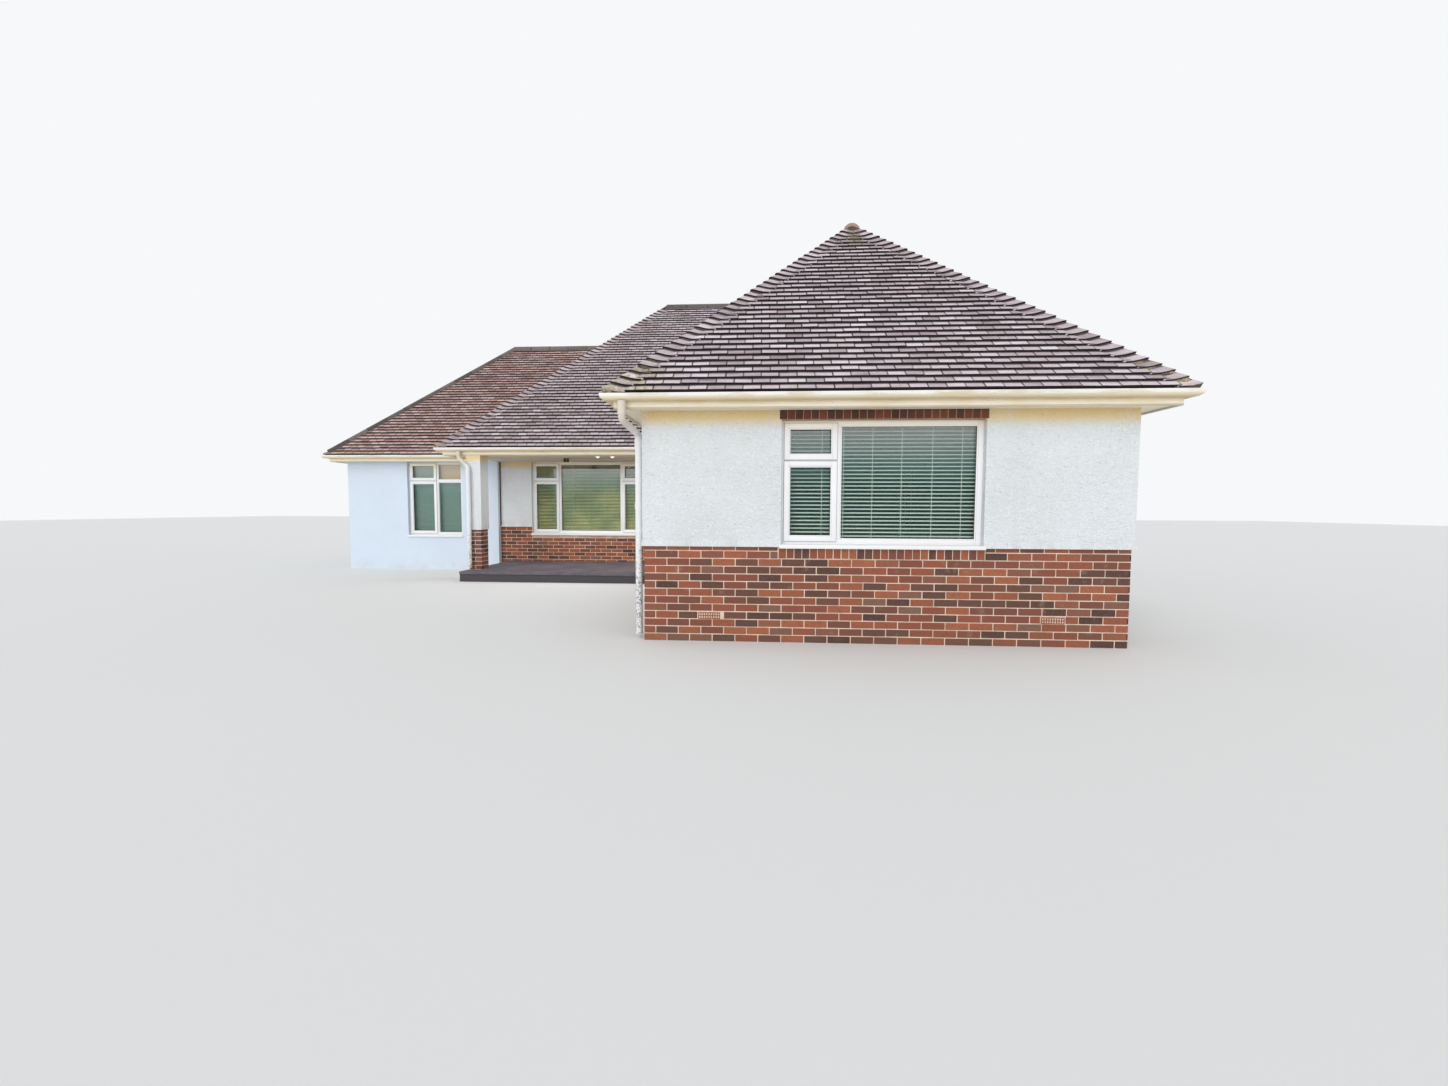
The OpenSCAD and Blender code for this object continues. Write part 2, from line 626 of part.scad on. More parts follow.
// Gutters: a half-round section in brackets from the fascia, joined by a union on each run
gutter_z = soffit_h + gutter_h - gutter_rim;
module half_round(outer, inner, top) difference() {
    union() {
        intersection() {
            circle(outer);
            translate([-outer, -outer]) square([2 * outer, outer]);
        }
        translate([-outer, 0]) square([2 * outer, top]);
    }
    circle(inner);
    translate([-inner, 0]) square([2 * inner, top + 1]);
}
module gutter_2d() translate([-fascia_out - gutter_r, gutter_z])
    half_round(gutter_r, gutter_r - gutter_t, gutter_rim);
module strap_2d() intersection() {
    translate([-fascia_out - gutter_r, gutter_z])
        half_round(gutter_r + strap_t, gutter_r - 1, gutter_rim - 1);
    translate([-fascia_out - 3 * gutter_r, fascia_z]) square([3 * gutter_r, gutter_h + fascia_lip]);
}
corner_gap = fascia_out + 3 * gutter_r;
module brackets(lines) for (l = lines) {
    first = l[3] < 0 ? corner_gap : bracket_start;
    last = l[1] - (l[4] < 0 ? corner_gap : bracket_start);
    facing(l[0], l[2]) {
        for (x = [first : bracket_pitch : last]) sweep(x - bracket_w / 2, x + bracket_w / 2) strap_2d();
        middle = first + bracket_pitch * floor((last - first) / bracket_pitch / 2 + 0.5);
        sweep(middle - union_w / 2, middle + union_w / 2) strap_2d();
    }
}
module house_gutter() color("white") { runs(house_lines) gutter_2d(); brackets(house_lines); }
module extension_gutter() color("white") { runs(extension_lines) gutter_2d(); brackets(extension_lines); }
module porch_gutter() color("white") { runs(porch_lines) gutter_2d(); brackets(porch_lines); }

// Pipe from a gutter outlet, back through a swan-neck and down the wall, held by clips
module downpipe(outlet, foot, turn, drop, fall) {
    top = [outlet[0], outlet[1], gutter_z - gutter_r];
    bend = [outlet[0], outlet[1], fascia_z - drop];
    low = [foot[0], foot[1], bend[2] - fall * norm([outlet[0] - foot[0], outlet[1] - foot[1]])];
    rod(bend, top, pipe_r);
    rod(bend + [0, 0, 45], top, pipe_r + 5);
    translate(bend) sphere(pipe_r + 6);
    rod(bend, low, pipe_r);
    translate(low) sphere(pipe_r + 6);
    rod(foot, low, pipe_r);
    for (z = [clip_low, clip_top]) translate([foot[0], foot[1], z]) rotate([0, 0, turn]) {
        cylinder(h = clip_h, r = pipe_r + 5);
        box(-clip_lug / 2, clip_lug / 2, 0, pipe_off, 5, clip_h - 5);
        box(-pipe_r - clip_lug, pipe_r + clip_lug, pipe_off - 5, pipe_off, 0, clip_h);
    }
}
pipe_off = pipe_r + pipe_gap;
gutter_mid = fascia_out + gutter_r;
module wing_downpipe() color("white")
    downpipe([-wing_outlet, -gutter_mid], [-pipe_off, wing_pipe_y, foot_gap], -90, wing_neck, wing_fall);
// The porch's pipe steps sideways onto the front of the pier
module porch_downpipe() color("white") let (x = -pier_x - pier_w)
    downpipe([x - porch_outlet, main_y - gutter_mid],
        [x + porch_pipe_x, main_y - fascia_out - pipe_off, floor_h + foot_gap], 0, porch_neck, 1);
module rear_downpipe() color("white")
    downpipe([wing_w - wing_outlet, house_d + gutter_mid],
        [wing_w - wing_outlet, house_d + pipe_off, foot_gap], 180, wing_neck, wing_fall);

place() wing_front_wall();
place() wing_left_wall();
place() right_wall();
place() rear_wall();
place() porch_wall();
place() extension_wall();
place() house_plinth();
place() porch_plinth();
place() window_header_course();
place() wing_roof_front();
place() wing_roof_left();
place() right_roof();
place() main_roof_front();
place() main_roof_left();
place() rear_roof();
place() extension_roof_front();
place() extension_roof_left();
place() wing_hip_tiles();
place() main_hip_tiles();
place() extension_hip_tiles();
place() front_window_frame();
place() front_window_glass();
place() porch_window_frame();
place() porch_window_glass();
place() extension_window_frame();
place() extension_window_glass();
place() window_blinds();
place() back_window_frames();
place() back_window_glass();
place() front_door_frame();
place() front_door();
place() porch_pier();
place() porch_beam();
place() porch_ceiling();
place() porch_floor();
place() ground_floor();
place() house_eaves();
place() porch_eaves();
place() extension_eaves();
place() house_gutter();
place() porch_gutter();
place() extension_gutter();
place() wing_downpipe();
place() porch_downpipe();
place() rear_downpipe();
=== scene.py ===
import math
import random

import bmesh
import bpy
from bpy.props import FloatProperty, FloatVectorProperty, PointerProperty
from mathutils import Matrix, Vector


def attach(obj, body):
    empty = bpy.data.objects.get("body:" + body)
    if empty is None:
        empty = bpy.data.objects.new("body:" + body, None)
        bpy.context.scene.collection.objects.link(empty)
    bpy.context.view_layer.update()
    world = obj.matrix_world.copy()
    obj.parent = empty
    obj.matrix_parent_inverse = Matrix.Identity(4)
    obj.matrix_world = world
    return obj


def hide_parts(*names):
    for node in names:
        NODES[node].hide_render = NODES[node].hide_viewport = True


bl_info = {
    "name": "Hipped Bungalow",
    "version": (1, 0, 0),
    "blender": (4, 5, 0),
    "location": "View3D > Sidebar > Bungalow",
    "description": "Dresses a hipped bungalow with tiles, bricks, windows, gutters and finishes",
    "category": "Add Mesh",
}

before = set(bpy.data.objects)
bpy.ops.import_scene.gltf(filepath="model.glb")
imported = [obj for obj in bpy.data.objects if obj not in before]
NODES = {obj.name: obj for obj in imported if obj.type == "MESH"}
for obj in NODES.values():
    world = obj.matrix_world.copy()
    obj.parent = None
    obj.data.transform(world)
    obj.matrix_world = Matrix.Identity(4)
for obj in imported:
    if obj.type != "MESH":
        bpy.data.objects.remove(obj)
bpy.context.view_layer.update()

# The front wing's left front corner, at ground level. Pieces are placed from it, finishes from the
# part's own origin.
CORNER = Vector((1.445, -5.65, 0.0))

# Wall lines, roof lines and levels from that corner, overhangs and thicknesses, in metres
WING_W = 4.65
MAIN_Y = 4.74
MAIN_L = -4.32
EXT_L = -7.54
EXT_Y = 6.17
PORCH_Y = 6.27
BACK_Y = 11.3
EAVE = 0.27
EAVE_Z = 2.4
OVER = 0.025
WALL_T = 0.28
PLINTH_Z = 0.9375
PORCH_PLINTH_Z = 0.9
BRICK_IN = 0.02
FLOOR_Z = 0.18
EXT_END = -4.295

# Widths and heights of the windows, and where they and the door stand along their walls
FRONT_W, PORCH_W, SIDE_W = 1.915, 2.475, 1.175
FRONT_H, PORCH_H, EXT_H = 1.235, 1.525, 1.57
FRONT_X, PORCH_X, EXT_X, BACK_X, BACK_EXT_X = 1.355, 0.675, 1.295, 2.725, 9.9925
SIDE_XS = 1.582, 7.006
DOOR_X = 0.65
FRONT_SILL, PORCH_SILL, EXT_SILL = 0.925, 0.725, 0.68
SOLDIERS_X = 1.335, 3.29

# Ends of the ridges: the wing's, the main roof's and the extension's
APEX, WING_BACK = (2.325, 2.325, 4.995), (2.325, 7.065, 4.995)
MAIN_RIDGE = (-1.04, 8.02, 5.95), (1.37, 8.02, 5.95)
EXT_RIDGE = (-4.975, 8.735, 5.235), (-1.755, 8.735, 5.235)


def spot(x, y, z):
    """A point measured from the wing's corner, in the part's own frame."""
    return CORNER + Vector((x, y, z))


def moved(x, y, z):
    return Matrix.Translation((x, y, z))


def turned(degrees, axis):
    return Matrix.Rotation(math.radians(degrees), 4, axis)


def axes(x, y, z):
    """A rotation whose local axes point along three vectors."""
    return Matrix((x, y, z)).transposed().to_4x4()


def join(whole, part):
    """Adds a mesh to another and frees it."""
    spare = bpy.data.meshes.new("spare")
    part.to_mesh(spare)
    part.free()
    whole.from_mesh(spare)
    bpy.data.meshes.remove(spare)


def wall_frame(x, y, turn):
    """Local frame of a wall: x along it, y inwards from its face, z up."""
    return Matrix.Translation(spot(x, y, 0)) @ turned(turn, "Z")


WING_FRONT = wall_frame(0, 0, 0)
WING_LEFT = wall_frame(0, PORCH_Y + WALL_T, 270)
RIGHT = wall_frame(WING_W, 0, 90)
REAR = wall_frame(WING_W, BACK_Y, 180)
PORCH = wall_frame(EXT_END, PORCH_Y, 0)
EXT_FRONT = wall_frame(EXT_L, EXT_Y, 0)


def block(bm, place, x0, x1, y0, y1, z0, z1):
    """Adds a box between the given sides, in a local frame."""
    size = Matrix.Diagonal((x1 - x0, y1 - y0, z1 - z0, 1))
    middle = moved((x0 + x1) / 2, (y0 + y1) / 2, (z0 + z1) / 2)
    return bmesh.ops.create_cube(bm, size=1, matrix=place @ middle @ size)["verts"]


def soften(bm, width, segments=1):
    bmesh.ops.bevel(bm, geom=bm.edges[:], offset=width, segments=segments,
                    affect="EDGES", profile=0.5, material=-1, clamp_overlap=True)


def rod(bm, a, b, radius, sides=16, end_radius=None):
    """A round bar between two points, of one or two radii."""
    line = b - a
    place = Matrix.Translation((a + b) / 2) @ line.to_track_quat("Z", "Y").to_matrix().to_4x4()
    bmesh.ops.create_cone(bm, cap_ends=True, segments=sides, radius1=radius,
                          radius2=end_radius or radius, depth=line.length, matrix=place)


def finish_piece(name, bm, key, slot, *nodes, smooth=None, more=()):
    """Makes the mesh an object that rides on the house and, if asked, stands for CAD nodes."""
    mesh = bpy.data.meshes.new(name)
    bmesh.ops.recalc_face_normals(bm, faces=bm.faces[:])
    bm.to_mesh(mesh)
    bm.free()
    if smooth:
        mesh.shade_smooth()
        mesh.set_sharp_from_angle(angle=math.radians(smooth))
    for each in (key, *more):
        mesh.materials.append(finish(each))
    piece = bpy.data.objects.new(name, mesh)
    bpy.context.scene.collection.objects.link(piece)
    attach(piece, "root")
    if nodes:
        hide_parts(*nodes)


# Shader arithmetic

def arithmetic(operation, swapped=False):
    """A Python operator that lays a math node."""
    def lay(self, other=0.0):
        first, second = (other, self) if swapped else (self, other)
        return self.nodes.node("ShaderNodeMath", {0: first, 1: second}, operation=operation)
    return lay


class Wire:
    """An output socket that takes part in Python arithmetic."""

    def __init__(self, nodes, socket):
        self.nodes = nodes
        self.socket = socket

    __add__, __mul__, __sub__ = (arithmetic(word) for word in ("ADD", "MULTIPLY", "SUBTRACT"))
    __gt__, __lt__, __abs__ = (arithmetic(word) for word in ("GREATER_THAN", "LESS_THAN", "ABSOLUTE"))
    __rsub__, most = arithmetic("SUBTRACT", True), arithmetic("MAXIMUM")

    def span(self, low, high):
        """0 below low and 1 above high."""
        return self.nodes.node("ShaderNodeMapRange", {0: self, 1: low, 2: high}, clamp=True,
                               interpolation_type="SMOOTHSTEP")

    def below(self, low, high):
        """1 below low and 0 above high."""
        return 1.0 - self.span(low, high)


class Nodes:
    """The nodes of a material or a world, laid by calls."""

    def __init__(self, owner):
        owner.use_nodes = True
        self.tree = owner.node_tree
        self.tree.nodes.clear()

    def node(self, kind, values=None, out=0, **settings):
        made = self.tree.nodes.new(kind)
        for key, value in settings.items():
            setattr(made, key, value)
        for key, value in (values or {}).items():
            socket = made.inputs[key]
            if isinstance(value, Wire):
                self.tree.links.new(value.socket, socket)
            elif socket.type == "RGBA" and len(value) == 3:
                socket.default_value = (*value, 1)
            else:
                socket.default_value = value
        return Wire(self, made.outputs[out]) if made.outputs else made


class Finish(Nodes):
    """One material, its colour laid in coats."""

    def __init__(self, name):
        self.material = bpy.data.materials.new(name)
        super().__init__(self.material)
        self.place = self.node("ShaderNodeTexCoord", out="Object")
        parts = self.node("ShaderNodeSeparateXYZ", {0: self.place}).socket.node.outputs
        self.x, self.y, self.z = (Wire(self, part) for part in parts)
        self.colour = None

    def noise(self, scale, detail=3.0, rough=0.55, place=None):
        return self.node("ShaderNodeTexNoise", {
            "Vector": place or self.place, "Scale": scale, "Detail": detail, "Roughness": rough})

    def streaks(self, detail, rough, *scale):
        """Noise with a scale for each axis."""
        place = self.node("ShaderNodeMapping", {"Vector": self.place, "Scale": scale})
        return self.noise(1.0, detail, rough, place)

    def tone(self, name="tone"):
        return self.node("ShaderNodeAttribute", out="Fac", attribute_name=name)

    def ramp(self, value, *stops):
        """Colours by value, each stop a place and its colour."""
        wire = self.node("ShaderNodeValToRGB", {0: value})
        points = wire.socket.node.color_ramp.elements
        points.remove(points[-1])
        points[0].position, points[0].color = stops[0][0], (*stops[0][1], 1)
        for where, colour in stops[1:]:
            points.new(where).color = (*colour, 1)
        return wire

    def mix(self, share, first, second):
        return self.node("ShaderNodeMix", {0: share, 6: first, 7: second}, 2, data_type="RGBA")

    def blend(self, grain, limits, first, second):
        """The first coat: two colours by a noise, sharpened between limits if given."""
        share = self.noise(*grain)
        self.colour = self.mix(share.span(*limits) if limits else share, first, second)

    def over(self, share, colour):
        """One more coat."""
        self.colour = self.mix(share, self.colour, colour)

    def surface(self, rough, height=None, depth=0.0, strength=1.0, **more):
        """Roughness, relief from a wire or a noise, and further inputs of the shader."""
        values = {"Base Color": self.colour, "Roughness": rough}
        if isinstance(height, tuple):
            height = self.noise(*height)
        if height:
            values["Normal"] = self.node("ShaderNodeBump", {
                "Height": height, "Distance": depth, "Strength": strength})
        values.update({key.replace("_", " "): value for key, value in more.items()})
        self.node("ShaderNodeOutputMaterial", {0: self.node("ShaderNodeBsdfPrincipled", values)})


# Finishes

# Name, noise and its limits, the two colours, roughness, then the relief's noise, depth and strength
PLAIN = {
    "slab": ("Tile Bed", (30,), None, (0.035, 0.03, 0.028), (0.06, 0.05, 0.045), 0.95),
    "rubber": ("Gasket Rubber", (60,), None, (0.035, 0.035, 0.036), (0.06, 0.06, 0.06),
               0.6, (200,), 0.0003, 0.3),
    "black": ("Black Enamel", (40,), None, (0.02, 0.02, 0.022), (0.035, 0.035, 0.036),
              0.35, (60,), 0.0003, 0.3),
    "slats": ("Blind Slats", (12,), None, (0.74, 0.86, 0.74), (0.64, 0.76, 0.64), 0.42, (30,), 0.0004, 0.3),
    "olive_slats": ("Porch Blind Slats", (2.3, 4), (0.35, 0.65), (0.74, 0.74, 0.34), (0.46, 0.53, 0.24),
                    0.5, (30,), 0.0004, 0.3),
    "ceiling": ("Porch Ceiling", (2.5, 4), (0.35, 0.7), (0.66, 0.56, 0.45), (0.56, 0.47, 0.38),
                0.7, (16,), 0.001, 0.3),
    "concrete": ("Floor Concrete", (4, 5, 0.65), None, (0.2, 0.19, 0.17), (0.27, 0.25, 0.22),
                 0.8, (70, 4), 0.001, 0.4),
}
MAKERS = {}
MADE = {}


def maker(name):
    """Notes the function below it as the maker of one material."""
    def note(make):
        MAKERS[make.__name__] = name, make
        return make
    return note


def finish(key):
    """The material of that key, made the first time it is asked for."""
    if key not in MADE:
        if key in PLAIN:
            name, grain, limits, first, second, rough, *relief = PLAIN[key]
            f = Finish(name)
            f.blend(grain, limits, first, second)
            f.surface(rough, *relief)
        else:
            name, make = MAKERS[key]
            f = Finish(name)
            make(f)
        MADE[key] = f.material
    return MADE[key]


@maker("Roughcast")
def roughcast(f):
    """Old white pebble render, stained ochre under the eaves and grey at its foot. Faces inside
    the house are coloured near-black as painted shade of the unlit rooms."""
    streak = f.streaks(4, 0.6, 7, 7, 1.2)
    scrape = f.streaks(5, 0.7, 16, 16, 46)
    pebble = f.node("ShaderNodeTexVoronoi", {"Vector": f.place, "Scale": 62}, "Distance")
    # The cool blue cast of these base colours is painted sky shade on white render.
    f.blend((1.3, 4), (0.35, 0.7), (0.775, 0.815, 0.845), (0.72, 0.755, 0.775))
    f.over(scrape.span(0.56, 0.72) * 0.6, (0.56, 0.55, 0.51))
    # Painted highlights: pale blue flecks for the lit tops of the pebbles.
    f.over(f.noise(44, 2, 0.6).span(0.52, 0.68) * 0.6, (0.86, 0.9, 0.93))
    f.over(f.z.span(2.06, 2.2) * (streak.span(0.2, 0.6) * 0.6 + 0.4) * 0.85, (0.88, 0.65, 0.27))
    foot = f.z.span(0.86, 0.9) * f.z.below(0.94, 1.08) * streak.span(0.4, 0.7)
    f.over(foot * 0.35, (0.46, 0.44, 0.38))
    f.over(f.noise(34, 3, 0.75).span(0.62, 0.71) * 0.62, (0.44, 0.42, 0.36))
    # Painted shade: wall faces inside the front and side rooms are coloured near-black to stand for the dark
    # rooms.
    front_room = (f.x > 1.545) * (f.x < 5.995) * (f.y > -5.55) * (f.y < 5.55)
    side_room = (f.x > -2.795) * (f.x < 1.7) * (f.y > 0.72) * (f.y < 5.55)
    f.over(front_room.most(side_room), (0.035, 0.04, 0.038))
    f.surface(0.92, scrape + pebble * 0.6 + f.noise(70, 3, 0.7) * 0.6, 0.012, 0.9)


@maker("Smooth Render")
def smooth_render(f):
    """Newer white render, nearly plain, its blue cast painted sky shade."""
    # The blue of these colours is painted sky shade; the render itself is white.
    f.blend((0.9, 4), (0.3, 0.75), (0.67, 0.755, 0.86), (0.625, 0.71, 0.815))
    f.over(f.z.below(0.0, 0.28) * f.noise(5, 5, 0.7).span(0.35, 0.7) * 0.4, (0.58, 0.55, 0.47))
    f.surface(0.88, (90, 4, 0.6), 0.001, 0.5)


@maker("Facing Brick")
def brick(f):
    """Mixed red, orange, brown and purple facing bricks, one tone to a brick."""
    f.colour = f.ramp(f.tone(), (0.0, (0.082, 0.044, 0.035)), (0.2, (0.15, 0.068, 0.05)),
                      (0.4, (0.235, 0.076, 0.048)), (0.6, (0.3, 0.092, 0.052)),
                      (0.8, (0.38, 0.125, 0.06)), (0.9, (0.25, 0.095, 0.062)), (1.0, (0.2, 0.12, 0.085)))
    f.over(f.noise(38, 4, 0.65).span(0.42, 0.7) * 0.5, (0.15, 0.078, 0.055))
    f.over(f.noise(9, 4, 0.6).span(0.6, 0.78) * 0.18, (0.62, 0.5, 0.42))
    # Painted shade of the eaves: bricks above 2.1 m, the header over the front window, are darkened.
    f.over((f.z > 2.1) * 0.5, (0.07, 0.016, 0.006))
    f.over(f.z.below(0.0, 0.2) * f.noise(7, 4).span(0.35, 0.65) * 0.4, (0.12, 0.1, 0.06))
    f.surface(0.85, (120, 4, 0.7), 0.0022, 0.7)


@maker("Mortar")
def mortar(f):
    """Sandy mortar between the bricks, darker and browner over the front window as painted shade of the
    eaves.
    """
    f.blend((5, 4), (0.35, 0.7), (0.84, 0.66, 0.54), (0.6, 0.45, 0.35))
    # Painted shade of the eaves: joints above 2.1 m are darkened to brown.
    f.over((f.z > 2.1) * 0.9, (0.36, 0.22, 0.15))
    f.surface(0.95, (160, 3, 0.7), 0.002, 0.7)


def plain_tiles(f, patch, lichen, moss_share, *stops):
    """Weathered plain tiles: one tone to a tile, tails coloured near-black as painted shade with dirt, dark
    bands at the heads as dirt and the painted shadow of the course above, lichen and moss.
    """
    tone = f.tone() * 0.68 + f.streaks(3, 0.6, 2.2, 2.2, 22).span(0.3, 0.7) * 0.32
    head = f.tone("head")
    mottle = f.noise(30, 4, 0.7)
    body = f.colour = f.ramp(tone, *stops)
    f.over(f.noise(0.9, 4, 0.6).span(0.42, 0.66) * 0.5, f.mix(tone, patch, body))
    f.over(mottle.span(0.5, 0.78) * 0.35, (0.13, 0.1, 0.105))
    f.over(f.noise(52, 3, 0.75).span(0.58, 0.7) * f.noise(2.6, 3).span(0.36, 0.6) * 0.8, lichen)
    moss = f.noise(21, 4, 0.7).span(0.6, 0.7) * f.noise(1.7, 3).span(0.5, 0.66)
    f.over(moss * moss_share, (0.16, 0.15, 0.06))
    f.over(f.x.below(-1.0, 1.8) * 0.16, (0.26, 0.15, 0.13))
    corner = f.x.below(1.45, 1.95) * f.y.below(-5.6, -5.1) * f.z.below(2.5, 2.8)
    crust = f.mix(f.noise(23, 3).span(0.35, 0.65), (0.66, 0.58, 0.38), (0.27, 0.25, 0.1))
    f.over(corner * f.noise(16, 4, 0.7).span(0.44, 0.57) * 0.8, crust)
    f.over(abs(f.tone("side")).span(0.91, 0.985) * 0.65, (0.024, 0.019, 0.022))
    # Dirt and painted shadow: each exposed face darkens towards its head, under the tail of the course above.
    f.over(head.span(0.48, 0.7) * 0.94, (0.024, 0.018, 0.022))
    # Painted shade with dirt: the tail faces are coloured near-black.
    f.over(head.below(0.005, 0.03), (0.018, 0.014, 0.017))
    peak = f.x.span(3.64, 3.74) * f.x.below(3.8, 3.9) * f.z.span(4.5, 4.75)
    f.over(peak * f.noise(19, 4, 0.7).span(0.36, 0.52) * 0.8, (0.15, 0.12, 0.05))
    f.surface(0.86, f.noise(150, 3, 0.7) + mottle * 0.7, 0.0025, 0.7)


@maker("Plain Tiles")
def roof_tiles(f):
    plain_tiles(f, (0.46, 0.35, 0.33), (0.82, 0.77, 0.75), 0.6,
                (0.0, (0.22, 0.165, 0.18)), (0.2, (0.36, 0.285, 0.3)), (0.4, (0.5, 0.42, 0.455)),
                (0.6, (0.62, 0.525, 0.555)), (0.8, (0.76, 0.675, 0.725)), (1.0, (0.88, 0.82, 0.84)))


@maker("Extension Tiles")
def extension_tiles(f):
    plain_tiles(f, (0.44, 0.24, 0.16), (0.82, 0.7, 0.58), 0.3,
                (0.0, (0.21, 0.12, 0.11)), (0.3, (0.38, 0.235, 0.22)), (0.55, (0.55, 0.375, 0.35)),
                (0.85, (0.72, 0.54, 0.51)), (1.0, (0.9, 0.7, 0.54)))


@maker("Ridge Tiles")
def capping(f):
    """Dark grey ridge tiles with mortar dust and lichen, newer at the wing's apex."""
    f.colour = f.ramp(f.tone(), (0.0, (0.075, 0.068, 0.066)), (0.6, (0.125, 0.11, 0.105)),
                      (1.0, (0.18, 0.15, 0.14)))
    pale = f.noise(24, 4, 0.75).span(0.56, 0.7)
    f.over(pale * 0.5, (0.34, 0.32, 0.28))
    f.over(f.noise(9, 4, 0.7).span(0.58, 0.68) * 0.6, (0.17, 0.16, 0.06))
    newer = f.y.below(-3.1, -3.06) * (f.x > 3.0)
    f.over(newer * 0.85, f.mix(pale, (0.44, 0.29, 0.23), (0.58, 0.43, 0.36)))
    f.surface(0.88, (90, 4, 0.7), 0.003, 0.7)


@maker("Bedding Mortar")
def bedding(f):
    """Dirty mortar under the bonnet tiles, cream and yellow with lichen by the eaves."""
    f.blend((26, 4, 0.7), (0.35, 0.65), (0.1, 0.082, 0.07), (0.05, 0.042, 0.04))
    low = f.z.below(2.45, 2.9) * f.noise(9, 4, 0.7).span(0.42, 0.6)
    f.over(low * 0.8, f.mix(f.noise(17, 4), (0.58, 0.5, 0.38), (0.45, 0.38, 0.12)))
    f.surface(0.95, (120, 3, 0.7), 0.003, 0.7)


@maker("Window Plastic")
def window_plastic(f):
    """White plastic, slightly grimy, with a painted reflection of warm light at the window heads."""
    grime = f.noise(7, 4, 0.65).span(0.5, 0.8)
    f.colour = f.mix(grime * 0.25, (0.86, 0.87, 0.885), (0.72, 0.72, 0.69))
    # Painted reflection: frames above about 2 m turn cream, for warm light thrown back from the ochre wall
    # and boards.
    f.over(f.z.span(2.02, 2.14) * 0.7, (0.94, 0.86, 0.68))
    f.surface(grime * 0.15 + 0.3, (2.5, 2), 0.0005, 0.25)


@maker("Painted Boards")
def board(f):
    """Cream gloss paint with streaks and bare spots, darker ochre at the top as painted shade of the gutter
    with streaky stain, and a grey underside as painted shade.
    """
    spots = f.noise(42, 4, 0.7).span(0.68, 0.74)
    streak = f.streaks(4, 0.65, 3, 3, 26).span(0.4, 0.72)
    f.colour = f.mix(streak * 0.6, (0.95, 0.875, 0.72), (0.84, 0.71, 0.45))
    # Painted shade with stain: the tops of the boards, under the gutter, darken to ochre in streaks.
    f.over(f.z.span(2.25, 2.32) * f.streaks(4, 0.65, 5, 5, 9).span(0.3, 0.7) * 0.5, (0.7, 0.5, 0.22))
    f.over(spots * 0.45, (0.42, 0.34, 0.24))
    # Painted shade: the soffit boards' underside is coloured grey.
    f.over((f.z < 2.248) * 0.6, (0.34, 0.31, 0.27))
    f.surface(spots * 0.3 + 0.45, (14, 3), 0.0012, 0.4)


@maker("Gutter Plastic")
def gutter(f):
    """White rainwater goods with a clean rim and dirt; at the eaves the lower part is cream to ochre, partly
    dirt and partly painted shade of the underside.
    """
    dirt = f.streaks(5, 0.7, 2.2, 2.2, 14)
    f.colour = f.mix(dirt.span(0.42, 0.7) * 0.65, (0.88, 0.865, 0.83), (0.62, 0.5, 0.31))
    high = f.z.span(2.0, 2.1)
    # Dirt and painted shade: the lower part of the eaves gutters turns cream-ochre, and their underside a
    # darker ochre.
    f.over((f.z + dirt * 0.012).below(2.328, 2.338) * high * 0.75, (0.82, 0.69, 0.42))
    f.over(f.z.below(2.3, 2.316) * high * 0.5, (0.6, 0.45, 0.22))
    f.over(f.noise(60, 3, 0.7).span(0.66, 0.73) * f.z.below(2.345, 2.355) * 0.5, (0.3, 0.24, 0.17))
    f.surface(dirt.span(0.4, 0.7) * 0.25 + 0.38, (20, 3), 0.0008, 0.3)


@maker("Flaking Pipe Paint")
def old_pipe(f):
    """White paint flaking off a grey pipe low down."""
    bare = (f.noise(46, 4, 0.75) + f.z.below(0.4, 1.5) * 0.15).span(0.66, 0.7)
    # Painted shade: above about 2 m, under the eaves, the pipe is tinted cream-brown.
    f.colour = f.mix(f.z.span(2.0, 2.1) * 0.6, (0.81, 0.82, 0.84), (0.62, 0.5, 0.36))
    f.over(bare, (0.34, 0.33, 0.31))
    f.surface(bare * 0.3 + 0.5, 1.0 - bare, 0.0012, 0.6)


@maker("Window Glass")
def glass(f):
    """Clear sealed units, with a painted reflection of the sky that grows paler and stronger towards the top.
    """
    # Painted reflection: above about 1.45 m the glass turns paler and more opaque, for the sky it reflects.
    high = f.z.span(1.45, 2.15)
    f.colour = f.mix(high, (0.42, 0.88, 0.84), (0.84, 0.9, 0.88))
    f.surface(0.03, (1.2, 2), 0.002, 0.15, Metallic=1.0, Alpha=f.noise(2.0, 3) * 0.02 + 0.022 + high * 0.13)


@maker("Dark Window Glass")
def dark_glass(f):
    """Sealed units coloured near-black and nearly opaque, as painted shade of the dark room behind."""
    f.blend((1.4, 3), None, (0.02, 0.026, 0.027), (0.038, 0.045, 0.046))
    f.surface(0.04, (1.2, 2), 0.002, 0.15, Alpha=0.9)


@maker("Sheer Blind")
def sheer(f):
    """Pale green-grey pleated blind cloth, sun-yellowed at the top."""
    weave = f.streaks(3, 0.6, 700, 700, 90)
    f.colour = f.mix(weave, (0.25, 0.335, 0.285), (0.17, 0.25, 0.21))
    aged = f.z.span(1.82, 1.88) * (f.x.span(-4.25, -4.15) * 0.85 + 0.15)
    f.over(aged * 0.85, (0.78, 0.54, 0.24))
    f.surface(0.8, weave, 0.0006, 0.5)


